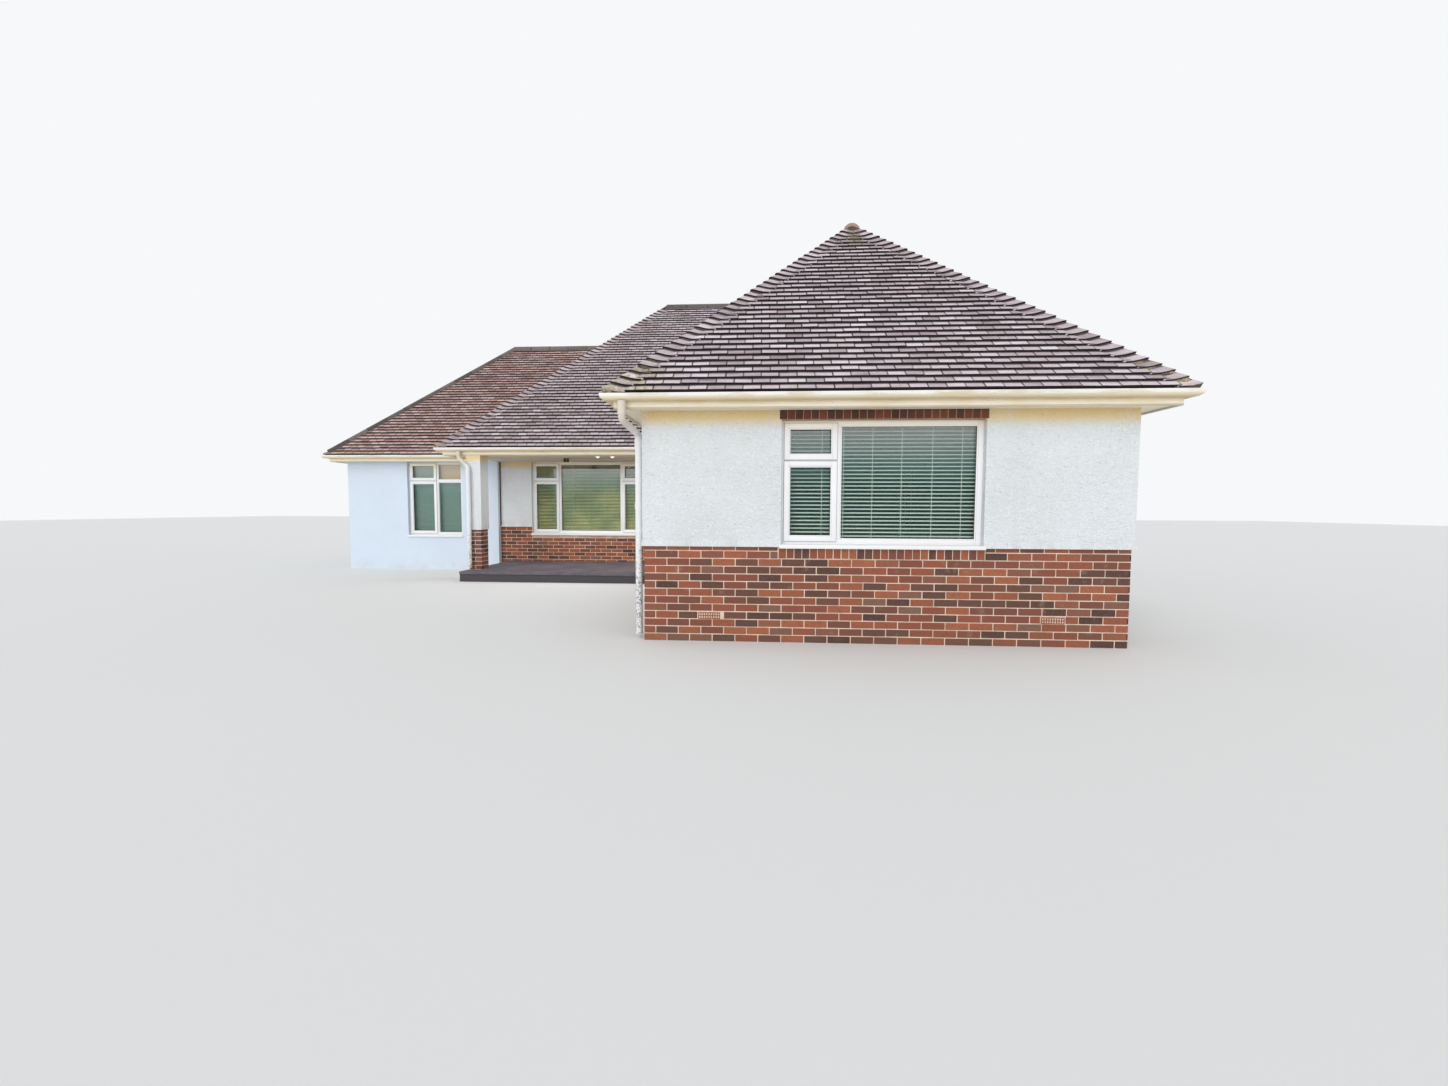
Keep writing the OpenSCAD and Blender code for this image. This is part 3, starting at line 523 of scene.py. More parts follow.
@maker("Porch Paving")
def paving(f):
    """Grey-purple riven paving of the porch floor, darker down its front as painted shade."""
    broad = f.noise(3.2, 5, 0.6)
    f.colour = f.mix(broad.span(0.3, 0.7), (0.11, 0.098, 0.118), (0.17, 0.155, 0.175))
    f.over(f.noise(22, 4, 0.7).span(0.5, 0.75) * 0.5, (0.08, 0.07, 0.08))
    # Painted shade: the front face of the step, below 0.14 m, is coloured dark.
    f.over(f.z.below(0.13, 0.14), (0.075, 0.068, 0.075))
    f.surface(0.85, broad + f.noise(28, 4, 0.7) * 0.5, 0.004, 0.6)


@maker("Lit Lamp")
def lamp(f):
    f.blend((30,), None, (0.95, 0.9, 0.78), (0.9, 0.86, 0.74))
    f.surface(0.4, (50,), 0.0003, 0.2, Emission_Color=(1.0, 0.92, 0.72, 1.0), Emission_Strength=0.9)


@maker("Dark Timber And Gap Shade")
# Dark timber which also stands in for the shadow in the gap at the porch corner: partly painted shade.
def timber_and_gap_shade(f):
    grain = f.streaks(4, 0.6, 60, 60, 3)
    f.colour = f.mix(grain.span(0.3, 0.7), (0.1, 0.052, 0.034), (0.055, 0.03, 0.022))
    f.surface(0.6, grain, 0.0008, 0.5)


@maker("Satin Metal")
def metal(f):
    scuff = f.noise(80, 3)
    f.colour = (0.62, 0.61, 0.58)
    f.surface(scuff * 0.15 + 0.22, scuff, 0.0002, 0.3, Metallic=1.0)


# Sizes

def metres(name, description, default, low, high):
    return FloatProperty(name=name, description=description, default=default, min=low, max=high,
                         unit="LENGTH")


class TileSizes(bpy.types.PropertyGroup):
    gauge: metres("Gauge", "Exposed length of each course", 0.1, 0.08, 0.12)
    width: metres("Tile width", "Width of a plain tile", 0.165, 0.14, 0.2)
    thickness: metres("Tile thickness", "Thickness at the tile's tail", 0.019, 0.012, 0.024)
    ridge_length: metres("Ridge tile length", "Laid length of a ridge tile", 0.45, 0.3, 0.5)


class BrickSizes(bpy.types.PropertyGroup):
    length: metres("Length", "Length of a brick", 0.215, 0.19, 0.25)
    height: metres("Height", "Height of a brick", 0.065, 0.05, 0.08)
    joint: metres("Joint", "Width of a mortar joint", 0.01, 0.006, 0.015)


class BlindSizes(bpy.types.PropertyGroup):
    pitch: metres("Slat pitch", "Height from one slat to the next", 0.038, 0.02, 0.06)
    fine_pitch: metres("Fine slat pitch", "Slat pitch of the porch blind", 0.03, 0.015, 0.04)


class StageLook(bpy.types.PropertyGroup):
    floor_colour: FloatVectorProperty(name="Floor", description="Colour of the studio floor",
                                      subtype="COLOR", size=3, default=(0.8, 0.8, 0.79), min=0, max=1)
    sky: FloatProperty(name="Sky light", description="Strength of the even light",
                       default=0.76, min=0, max=3)


# Roof

ROOT2 = math.sqrt(2)
HEADS = ("head", "side")


def tiled_faces():
    """Each roof face: name, finish, eave start, eave turn, and its plan outlines."""
    reach = EAVE + OVER + 0.008
    near, right, left, back = -reach, WING_W + reach, MAIN_L - reach, BACK_Y + reach
    front, far, low = MAIN_Y - reach, EXT_L - reach, EXT_Y - reach
    apex, mr, main_l, main_r, ext_l, ext_r = (p[:2] for p in (APEX, WING_BACK, *MAIN_RIDGE, *EXT_RIDGE))
    wl, wr, step, foot = (near, near), (right, near), (right, mr[1]), (ext_r[0], back)
    return [
        ("wing_front_tiles", "roof_tiles", (0, 0), 0, [[wl, wr, apex]]),
        ("wing_left_tiles", "roof_tiles", (0, MAIN_Y), 270, [[wl, apex, mr, (near, front)]]),
        ("right_tiles", "roof_tiles", (WING_W, 0), 90,
         [[wr, step, mr, apex], [step, (right, back), main_r, mr]]),
        ("main_front_tiles", "roof_tiles", (0, MAIN_Y), 0,
         [[(left, front), (near, front), mr, main_r, main_l]]),
        ("main_left_tiles", "roof_tiles", (MAIN_L, BACK_Y), 270,
         [[(left, front), main_l, ext_r, (left, low)]]),
        ("rear_tiles", "roof_tiles", (WING_W, BACK_Y), 180,
         [[foot, ext_r, main_l, main_r, (right, back)], [(far, back), ext_l, ext_r, foot]]),
        ("extension_front_tiles", "extension_tiles", (EXT_L, EXT_Y), 0,
         [[(far, low), (left, low), ext_r, ext_l]]),
        ("extension_left_tiles", "extension_tiles", (EXT_L, BACK_Y), 270, [[(far, low), ext_l, (far, back)]]),
    ]


def inside(point, outline):
    """Whether a plan point lies in a convex outline."""
    sides = set()
    for (ax, ay), (bx, by) in zip(outline, outline[1:] + outline[:1]):
        cross = (bx - ax) * (point.y - ay) - (by - ay) * (point.x - ax)
        if abs(cross) > 1e-7:
            sides.add(cross > 0)
    return len(sides) == 1


def cut_to(bm, outline):
    """Trims a mesh to a convex plan outline and closes the cuts."""
    middle = sum((Vector((*p, 0)) for p in outline), Vector()) / len(outline)
    for a, b in zip(outline, outline[1:] + outline[:1]):
        a, b = Vector((*a, 0)), Vector((*b, 0))
        across = (b - a).cross(Vector((0, 0, 1))).normalized()
        if across.dot(middle - a) > 0:
            across.negate()
        cut = bmesh.ops.bisect_plane(bm, geom=bm.verts[:] + bm.edges[:] + bm.faces[:], dist=1e-6,
                                     plane_co=CORNER + a, plane_no=across, clear_outer=True)
        rim = [e for e in cut["geom_cut"] if isinstance(e, bmesh.types.BMEdge) and e.is_boundary]
        if rim:
            bmesh.ops.holes_fill(bm, edges=rim, sides=0)


def toned_mesh(*more):
    """An empty mesh whose corners know their piece's tone, and what else is named."""
    bm = bmesh.new()
    for name in ("tone", *more):
        bm.verts.layers.float.new(name)
    return bm


def set_tone(bm, verts, value):
    tone = bm.verts.layers.float["tone"]
    for v in verts:
        v[tone] = value


def colour_tile(bm, verts, value):
    """Stores a tile's tone, and where each corner of its cube lies along and across it."""
    set_tone(bm, verts, value)
    head, side = (bm.verts.layers.float[name] for name in HEADS)
    for index, v in enumerate(verts):
        v[head] = 1.0 if index & 2 else 0.0
        v[side] = 1.0 if index & 4 else -1.0


def lay_tiles(start, turn, outlines, sizes):
    """All plain tiles of one roof face, each a tilted box that lies on the course below."""
    place = wall_frame(*start, turn)
    upslope = Vector((0, 1, 1)).normalized()
    normal = Vector((0, -1, 1)).normalized()
    lie = axes(Vector((1, 0, 0)), upslope, normal)
    tested, length, gap, slope = 0.12, 0.125, 0.005, -10.4
    local = [place.inverted() @ spot(*p, 0) for outline in outlines for p in outline]
    left, right = min(p.x for p in local), max(p.x for p in local)
    depth = max(p.y for p in local) + EAVE + OVER
    courses = math.ceil(depth * ROOT2 / sizes.gauge)
    whole, cut = toned_mesh(*HEADS), toned_mesh(*HEADS)
    base = Vector((0, -EAVE - OVER, EAVE_Z - OVER))
    for row in range(courses):
        shift = sizes.width / 2 if row % 2 else 0.0
        for column in range(math.floor((left - shift) / sizes.width) - 1,
                            math.ceil((right - shift) / sizes.width) + 1):
            dice = random.Random(f"{start}{turn}{row}/{column}")
            x = column * sizes.width + shift + dice.uniform(-0.002, 0.002)
            low = row * sizes.gauge + dice.uniform(-0.004, 0.003) * (row > 0)
            lift = dice.uniform(-0.001, 0.0025)
            corners = [place @ (base + Vector((x + a * sizes.width, 0, 0)) + upslope * (low + b * tested))
                       - CORNER for a in (0, 1) for b in (0, 1)]
            state = [sum(inside(corner, outline) for corner in corners) for outline in outlines]
            if not any(state):
                continue
            bm = whole if max(state) == 4 else cut
            size = Matrix.Diagonal((sizes.width - gap, length, sizes.thickness, 1))
            tilt = turned(slope + dice.uniform(-0.6, 0.6), "X")
            sway = turned(dice.uniform(-0.8, 0.8), "Z")
            roll = turned(dice.uniform(-0.5, 0.5), "Y")
            seat = Matrix.Translation(base + Vector((x + sizes.width / 2, 0, 0))
                                      + upslope * (low + length / 2) + normal * lift)
            made = bmesh.ops.create_cube(bm, size=1, matrix=place @ seat @ lie @ sway @ roll @ tilt @ size)
            tone = 1.0 if dice.random() < 0.006 else dice.betavariate(2.4, 2.4)
            colour_tile(bm, made["verts"], tone)
    result = toned_mesh(*HEADS)
    join(result, whole)
    for outline in outlines:
        trimmed = cut.copy()
        cut_to(trimmed, outline)
        join(result, trimmed)
    cut.free()
    return result


class HOUSE_OT_roof_tiles(bpy.types.Operator):
    """Lay plain tiles on every roof face"""
    bl_idname = "house.roof_tiles"
    bl_label = "Roof Tiles"

    def execute(self, context):
        for name, key, start, turn, outlines in tiled_faces():
            finish_piece(name, lay_tiles(start, turn, outlines, context.scene.house_tiles), key, key)
        return {"FINISHED"}


def saddle(u):
    """Height of a bonnet tile over the hip line, at a distance u to the side of it."""
    return 0.02 - 0.577 * math.hypot(u, 0.03) + 0.038 * math.exp(-(u / 0.07) ** 2)


def sweep(u):
    """How far up the hip a bonnet's edge runs, so that it falls in with the course beside it."""
    return 0.8 * (math.hypot(u, 0.03) - 0.03)


def saddle_sheet(bm, length, lift, drop, thick, half, swept=0):
    """A saddle along z, lower by drop at its far end, with swept or square ends."""
    upper = bmesh.ops.create_grid(bm, x_segments=14, y_segments=1, size=0.5)["verts"]
    for v in upper:
        u, t = v.co.x * 2 * half, v.co.y + 0.5
        v.co = Vector((u, saddle(u) + lift - drop * t, t * length + swept * sweep(u)))
    faces = list({f for v in upper for f in v.link_faces})
    made = bmesh.ops.extrude_face_region(bm, geom=faces, use_keep_orig=True)["geom"]
    lower = [v for v in made if isinstance(v, bmesh.types.BMVert)]
    bmesh.ops.translate(bm, vec=(0, -thick, 0), verts=lower)
    return upper + lower


def line_frame(line):
    """Directions along a hip or ridge and square over it, and the turn that sets a tile there."""
    along = line.normalized()
    over = (Vector((0, 0, 1)) - along * along.z).normalized()
    return along, over, axes(along.cross(over), over, along)


def bonnet_line(tiles, beds, foot, head, sizes, dice):
    """A hip of bonnet tiles, flared out to meet the plain tiles, on a line of mortar."""
    if foot.z < EAVE_Z + 0.001:
        foot = foot - (head - foot) * (OVER / (head - foot).z)
    line = head - foot
    step = sizes.gauge * math.sqrt(3) / ROOT2
    along, over, turn = line_frame(line)
    head_layer = tiles.verts.layers.float["head"]
    length = step * 1.28
    for index in range(math.floor(line.length / step) - 1):
        shift = moved(dice.uniform(-0.004, 0.004), dice.uniform(-0.002, 0.003), 0)
        sway = turned(dice.uniform(-2.0, 2.0), "Y")
        made = saddle_sheet(tiles, length, 0.004, 0.026, 0.013, 0.145, 1)
        set_tone(tiles, made, dice.betavariate(3.0, 4.2))
        for v in made:
            v[head_layer] = (v.co.z - sweep(v.co.x)) / length
        place = Matrix.Translation(foot + along * (index * step)) @ turn @ sway @ shift
        bmesh.ops.transform(tiles, matrix=place, verts=made)
    made = saddle_sheet(beds, line.length, -0.014, 0.0, 0.03, 0.12)
    bmesh.ops.transform(beds, matrix=Matrix.Translation(foot) @ turn, verts=made)


def ridge_line(bm, a, b, radius, drop, length, dice):
    """Half-round ridge tiles end to end, with a thin gap between them."""
    line = b - a
    count = max(1, round(line.length / length))
    step = line.length / count
    along, over, turn = line_frame(line)
    for index in range(count):
        made = bmesh.ops.create_cone(bm, cap_ends=True, segments=28, radius1=radius, radius2=radius,
                                     depth=step - 0.012)["verts"]
        place = Matrix.Translation(a + along * (step * (index + 0.5)) - over * drop) @ turn
        bmesh.ops.transform(bm, matrix=place @ moved(0, dice.uniform(-0.003, 0.0), 0), verts=made)
        set_tone(bm, made, dice.random())


class HOUSE_OT_hip_tiles(bpy.types.Operator):
    """Set bonnet tiles on the hips and half-round tiles on the ridges"""
    bl_idname = "house.hip_tiles"
    bl_label = "Hip and Ridge Tiles"

    def execute(self, context):
        sizes = context.scene.house_tiles
        dice = random.Random(11)
        apex, wing_back, main_l, main_r, ext_l, ext_r = (
            spot(*p) for p in (APEX, WING_BACK, *MAIN_RIDGE, *EXT_RIDGE))
        near, right, left, back = -EAVE, WING_W + EAVE, MAIN_L - EAVE, BACK_Y + EAVE
        front, past = MAIN_Y - EAVE, 0.04
        wing, main = (
            [(x - past, y - past), (right + past, y - past), (right + past, far), (x - past, far)]
            for x, y, far in ((near, near, 9.0), (left, front, back + past)))
        all_tiles, all_beds = toned_mesh(*HEADS), bmesh.new()
        for foot, head, outline in (
                (spot(near, near, EAVE_Z), apex, wing), (spot(right, near, EAVE_Z), apex, wing),
                (spot(left, front, EAVE_Z), main_l, main), (ext_r, main_l, main),
                (wing_back, main_r, main), (spot(right, back, EAVE_Z), main_r, main)):
            tiles, beds = toned_mesh(*HEADS), bmesh.new()
            bonnet_line(tiles, beds, foot, head, sizes, dice)
            for bm, whole in ((tiles, all_tiles), (beds, all_beds)):
                cut_to(bm, outline)
                join(whole, bm)
        finish_piece("bonnet_tiles", all_tiles, "roof_tiles", "roof_tiles", smooth=40)
        finish_piece("bonnet_mortar", all_beds, "bedding", "roof_tiles", smooth=40)
        tile, cap = (0.11, 0.06), (0.092, 0.05)
        corners = [spot(EXT_L - EAVE, y, EAVE_Z) for y in (EXT_Y - EAVE, back)]
        for name, nodes, runs in (
                ("ridge_tiles", ("wing_hip_tiles", "main_hip_tiles"),
                 [(apex - Vector((0, 0.04, 0)), wing_back, tile), (main_l, main_r, tile)]),
                ("extension_cappings", ("extension_hip_tiles",),
                 [(a + (ext_l - a) * 0.012, ext_l, cap) for a in corners] + [(ext_l, ext_r, tile)])):
            bm = toned_mesh()
            for a, b, (radius, drop) in runs:
                ridge_line(bm, a, b, radius, drop, sizes.ridge_length, dice)
            finish_piece(name, bm, "capping", "hip_tiles", *nodes, smooth=40)
        return {"FINISHED"}


# Brickwork

BRICK_PROUD = 0.005
AIR_BRICKS = (0.551, 0.769), (3.834, 4.05)


def lay_bricks(bm, place, x0, x1, z0, z1, sizes, dice, start, gaps=()):
    """Stretcher-bond bricks on a wall face, left out where an opening lies."""
    pitch_x = sizes.length + sizes.joint
    pitch_z = sizes.height + sizes.joint
    row, z = 0, z0
    while z < z1 - 0.01:
        top = min(z + sizes.height, z1)
        x = x0 - (pitch_x / 2 if (row + start) % 2 else 0)
        while x < x1 - 0.005:
            pieces = [(max(x, x0), min(x + sizes.length, x1))]
            for gx0, gx1, gz0, gz1 in gaps:
                if top > gz0 + 0.005 and z < gz1 - 0.005:
                    pieces = [part for a, b in pieces for part in
                              ((a, min(b, gx0 - sizes.joint)), (max(a, gx1 + sizes.joint), b))]
            for a, b in pieces:
                if b - a > 0.02:
                    depth = BRICK_PROUD + dice.uniform(-0.001, 0.001)
                    drift = dice.uniform(-0.001, 0.001) * (row > 0)
                    made = block(bm, place, a, b, -depth, 0.01, z + drift, top + drift)
                    set_tone(bm, made, dice.random())
            x += pitch_x
        z += pitch_z
        row += 1


def soldiers(bm, z0, z1, y, dice, brightest):
    """Bricks on edge, side by side, over or under the front window."""
    x0, x1 = SOLDIERS_X
    count = round((x1 - x0) / 0.075)
    pitch = (x1 - x0) / count
    for index in range(count):
        x = x0 + index * pitch
        depth = y + BRICK_IN + dice.uniform(-0.001, 0.001)
        made = block(bm, WING_FRONT, x + 0.0025, x + pitch - 0.0025, depth, depth + 0.03, z0, z1)
        set_tone(bm, made, dice.random() * brightest)


class HOUSE_OT_brickwork(bpy.types.Operator):
    """Lay facing bricks on the plinths, the pier and round the front window"""
    bl_idname = "house.brickwork"
    bl_label = "Brickwork"

    def close(self, name, bm):
        soften(bm, 0.003)
        finish_piece(name, bm, "brick", "brick")

    def execute(self, context):
        sizes = context.scene.house_bricks
        dice = random.Random(5)
        top = 1.0
        for name, wall, x0, x1, start, height, gaps in (
                ("wing_front_bricks", WING_FRONT, BRICK_IN, WING_W - BRICK_IN, 0, PLINTH_Z,
                 [(*SOLDIERS_X, 0.823, top), *((*sides, 0.22, 0.285) for sides in AIR_BRICKS)]),
                ("wing_left_bricks", WING_LEFT, WALL_T, PORCH_Y + WALL_T - BRICK_IN, 1, PLINTH_Z,
                 [(DOOR_X, DOOR_X + 0.93, FLOOR_Z, top)]),
                ("right_bricks", RIGHT, BRICK_IN, BACK_Y - BRICK_IN, 1, PLINTH_Z,
                 [(x, x + SIDE_W, PORCH_SILL, top) for x in SIDE_XS]),
                ("rear_bricks", REAR, BRICK_IN, 8.97, 0, PLINTH_Z,
                 [(BACK_X, BACK_X + PORCH_W, PORCH_SILL, top)]),
                ("porch_bricks", PORCH, 0.0, 4.315, 0, PORCH_PLINTH_Z,
                 [(PORCH_X, PORCH_X + PORCH_W, PORCH_SILL, top)])):
            bm = toned_mesh()
            lay_bricks(bm, wall @ moved(0, BRICK_IN, 0), x0, x1, 0.0, height, sizes, dice, start, gaps)
            if name == "wing_front_bricks":
                soldiers(bm, 0.826, 0.922, -0.014, dice, 0.8)
            self.close(name, bm)
        bm = toned_mesh()
        # The header soldiers take a lower tone range, as part of the painted shade of the eaves.
        soldiers(bm, 2.163, 2.258, -0.012, dice, 0.72)
        self.close("window_header_bricks", bm)
        bm = toned_mesh()
        x0, x1, y0, y1 = -4.09, -3.87, 4.54, 4.8
        for x, y, turn, width in ((x0, y0, 0, x1 - x0), (x1, y0, 90, y1 - y0),
                                  (x1, y1, 180, x1 - x0), (x0, y1, 270, y1 - y0)):
            lay_bricks(bm, wall_frame(x, y, turn), 0, width, FLOOR_Z + 0.005, PORCH_PLINTH_Z, sizes, dice, 1)
        self.close("pier_bricks", bm)
        bm = toned_mesh()
        for x, right in AIR_BRICKS:
            for z in (0.22, 0.2485, 0.277):
                block(bm, WING_FRONT, x, x + 0.215, 0.016, 0.04, z, z + 0.008)
            for step in range(10):
                rib = x + step * 0.0231
                block(bm, WING_FRONT, rib, rib + 0.0085, 0.0165, 0.04, 0.22, 0.285)
        set_tone(bm, bm.verts, 0.62)
        finish_piece("air_bricks", bm, "brick", "brick")
        return {"FINISHED"}


# Windows

# The frame's face, depth and setback, half a mullion, a sash rail and its lap over the frame, how far
# a sash stands forward, and the height of the sill
FACE, DEPTH, SET, HALF, SASH, LAP, PROUD, SILL = 0.048, 0.07, 0.07, 0.027, 0.048, 0.02, 0.015, 0.038

# Lights of a window: left, bottom, right, top, and whether it opens
FRONT_LIGHTS = [(0, SILL, 0.545, 0.85, True), (0, 0.85, 0.545, FRONT_H, True),
                (0.545, SILL, FRONT_W, FRONT_H, False)]
PORCH_LIGHTS = [(0, SILL, 0.575, 1.13, True), (0, 1.13, 0.575, PORCH_H, True),
                (0.575, SILL, 1.9, PORCH_H, False),
                (1.9, SILL, PORCH_W, 1.13, True), (1.9, 1.13, PORCH_W, PORCH_H, True)]


def side_lights(height, transom):
    return [(0, SILL, 0.605, transom, True), (0, transom, 0.605, height, True),
            (0.605, SILL, SIDE_W, transom, False), (0.605, transom, SIDE_W, height, False)]


SIDE, EXT = side_lights(PORCH_H, 1.13), side_lights(EXT_H, 1.17)
FRONT_WINDOW = WING_FRONT @ moved(FRONT_X, 0, FRONT_SILL), FRONT_W, FRONT_H
PORCH_WINDOW = PORCH @ moved(PORCH_X, 0, PORCH_SILL), PORCH_W, PORCH_H
EXT_WINDOW = EXT_FRONT @ moved(EXT_X, 0, EXT_SILL), SIDE_W, EXT_H


def light_pane(light, width, height):
    """The clear opening of one light: left, bottom, right, top."""
    x0, z0, x1, z1, opens = light
    sash = SASH - LAP if opens else 0
    left, bottom, right, top = (
        (FACE if at_edge else HALF) + sash
        for at_edge in (x0 < 0.001, z0 < SILL + 0.001, x1 > width - 0.001, z1 > height - 0.001))
    return x0 + left, z0 + bottom, x1 - right, z1 - top


def ring(bm, place, opening, inset, border, y0, y1):
    """A rectangular frame of four bars round an opening that is first drawn in by inset."""
    x0, z0, x1, z1 = (side + sign * inset for side, sign in zip(opening, (1, 1, -1, -1)))
    for x in (x0 - border, x1):
        block(bm, place, x, x + border, y0, y1, z0 - border, z1 + border)
    for z in (z0 - border, z1):
        block(bm, place, x0, x1, y0, y1, z, z + border)


def build_window(place, width, height, lights, bodies, gaskets):
    """Frame, sashes, beads and sill into bodies, rubber seals into gaskets."""
    front, back = SET, SET + DEPTH
    ring(bodies, place, (0, SILL, width, height), FACE, FACE, front, back)
    for x in sorted({light[0] for light in lights if light[0] > 0.001}):
        block(bodies, place, x - HALF, x + HALF, front, back, SILL + FACE, height - FACE)
    for x0, z0, x1, z1, opens in lights:
        if z0 > SILL + 0.001:
            block(bodies, place, x0 + (FACE if x0 < 0.001 else HALF),
                  x1 - (FACE if x1 > width - 0.001 else HALF), front, back, z0 - HALF, z0 + HALF)
    for light in lights:
        pane = light_pane(light, width, height)
        bead = front + 0.01
        if light[4]:
            ring(bodies, place, pane, 0, SASH, front - PROUD, front + 0.02)
            ring(gaskets, place, pane, 0.003 - SASH, 0.006, front - 0.003, front + 0.001)
            bead -= PROUD
        ring(bodies, place, pane, 0.012, 0.013, bead, bead + 0.012)
        ring(gaskets, place, pane, 0.015, 0.004, bead + 0.006, bead + 0.0125)
    block(bodies, place, -0.015, width + 0.015, -0.032, 0.0, 0.004, SILL - 0.006)
    block(bodies, place, -0.015, width + 0.015, -0.034, -0.024, 0.0, SILL - 0.002)
    block(bodies, place, 0.0, width, 0.0, back, 0.0, SILL)


class HOUSE_OT_windows(bpy.types.Operator):
    """Build the window frames, sashes, seals and sills"""
    bl_idname = "house.windows"
    bl_label = "Windows"

    def execute(self, context):
        for name, node, openings in (
                ("front_window", "front_window_frame", [(*FRONT_WINDOW, FRONT_LIGHTS)]),
                ("porch_window", "porch_window_frame", [(*PORCH_WINDOW, PORCH_LIGHTS)]),
                ("extension_window", "extension_window_frame", [(*EXT_WINDOW, EXT)]),
                ("back_windows", "back_window_frames",
                 [*((RIGHT @ moved(x, 0, PORCH_SILL), SIDE_W, PORCH_H, SIDE) for x in SIDE_XS),
                  (REAR @ moved(BACK_X, 0, PORCH_SILL), PORCH_W, PORCH_H, PORCH_LIGHTS),
                  (REAR @ moved(BACK_EXT_X, 0, EXT_SILL), SIDE_W, EXT_H, EXT)])):
            bodies, gaskets = bmesh.new(), bmesh.new()
            for opening in openings:
                build_window(*opening, bodies, gaskets)
            soften(bodies, 0.0035, 2)
            finish_piece(name + "_bars", bodies, "window_plastic", "window_plastic", node, smooth=35)
            finish_piece(name + "_seals", gaskets, "rubber", "window_plastic")
        return {"FINISHED"}


class HOUSE_OT_blinds(bpy.types.Operator):
    """Hang slatted blinds at the front and porch windows and a pleated one in the extension"""
    bl_idname = "house.blinds"
    bl_label = "Blinds"

    def execute(self, context):
        sizes = context.scene.house_blinds
        bm = bmesh.new()
        self.slats(bm, *FRONT_WINDOW, sizes.pitch, 27)
        fronts = len(bm.faces)
        self.slats(bm, *PORCH_WINDOW, sizes.fine_pitch, 36)
        porches = len(bm.faces)
        self.pleats(bm, *EXT_WINDOW)
        for index, face in enumerate(bm.faces):
            face.material_index = (index >= fronts) + (index >= porches)
        finish_piece("blinds", bm, "slats", "blind", "window_blinds", more=("olive_slats", "sheer"))
        return {"FINISHED"}

    def head_rail(self, bm, place, width, height):
        """The rail at the top, behind the window frame; gives back the plane where the blind hangs."""
        y = SET + DEPTH + 0.02
        block(bm, place, 0.006, width - 0.006, y - 0.003, y + 0.029, height - 0.04, height)
        return y

    def slats(self, bm, place, width, height, pitch, tilt):
        """Slats, bottom rail and ladder tapes."""
        y = self.head_rail(bm, place, width, height)
        for index in range(int((height - SILL - 0.09) / pitch)):
            turn = moved(width / 2, y + 0.013, height - 0.055 - index * pitch) @ turned(tilt, "X")
            block(bm, place @ turn, -width / 2 + 0.012, width / 2 - 0.012, -0.0125, 0.0125, -0.0009, 0.0009)
        block(bm, place, 0.012, width - 0.012, y, y + 0.026, SILL + 0.026, SILL + 0.04)
        for share in (0.05, 0.21, 0.32, 0.466, 0.613, 0.766, 0.913):
            block(bm, place, share * width - 0.002, share * width + 0.002, y - 0.0015, y + 0.0005,
                  SILL + 0.04, height - 0.04)

    def pleats(self, bm, place, width, height):
        """A pleated cloth."""
        y, folds = self.head_rail(bm, place, width, height), 108
        cloth = bmesh.ops.create_grid(bm, x_segments=1, y_segments=folds, size=0.5)["verts"]
        for v in cloth:
            depth = 0.004 if round((v.co.y + 0.5) * folds) % 2 else 0.018
            v.co = Vector((0.012 + (v.co.x + 0.5) * (width - 0.024), y + depth,
                           0.065 + (v.co.y + 0.5) * (height - 0.105)))
        bmesh.ops.transform(bm, matrix=place, verts=cloth)
        faces = list({f for v in cloth for f in v.link_faces})
        bmesh.ops.solidify(bm, geom=faces, thickness=0.0012)


# Rainwater goods

def bent_pipe(points, radius, bend):
    """A pipe along straight stretches joined by round bends."""
    bm = bmesh.new()
    path, steps = [points[0]], 7
    for before, here, after in zip(points, points[1:], points[2:]):
        into, out = (here - before).normalized(), (after - here).normalized()
        cut = bend * math.tan(into.angle(out) / 2)
        a, b = here - into * cut, here + out * cut
        for index in range(steps + 1):
            t = index / steps
            path.append(a.lerp(here, t).lerp(here.lerp(b, t), t))
    path.append(points[-1])
    ahead = (path[1] - path[0]).normalized()
    turn = ahead.to_track_quat("Z", "Y").to_matrix().to_4x4()
    bmesh.ops.create_circle(bm, cap_ends=True, segments=20, radius=radius,
                            matrix=Matrix.Translation(path[0]) @ turn)
    face = next(iter(bm.faces))
    for index, here in enumerate(path[1:], 1):
        towards = (path[min(index + 1, len(path) - 1)] - path[index - 1]).normalized()
        made = bmesh.ops.extrude_face_region(bm, geom=[face], use_keep_orig=index == 1)["geom"]
        verts = [v for v in made if isinstance(v, bmesh.types.BMVert)]
        face = next(f for f in made if isinstance(f, bmesh.types.BMFace))
        swing = ahead.rotation_difference(towards).to_matrix().to_4x4()
        bmesh.ops.transform(bm, verts=verts, matrix=Matrix.Translation(here) @ swing
                            @ Matrix.Translation(-path[index - 1]))
        ahead = towards
    return bm


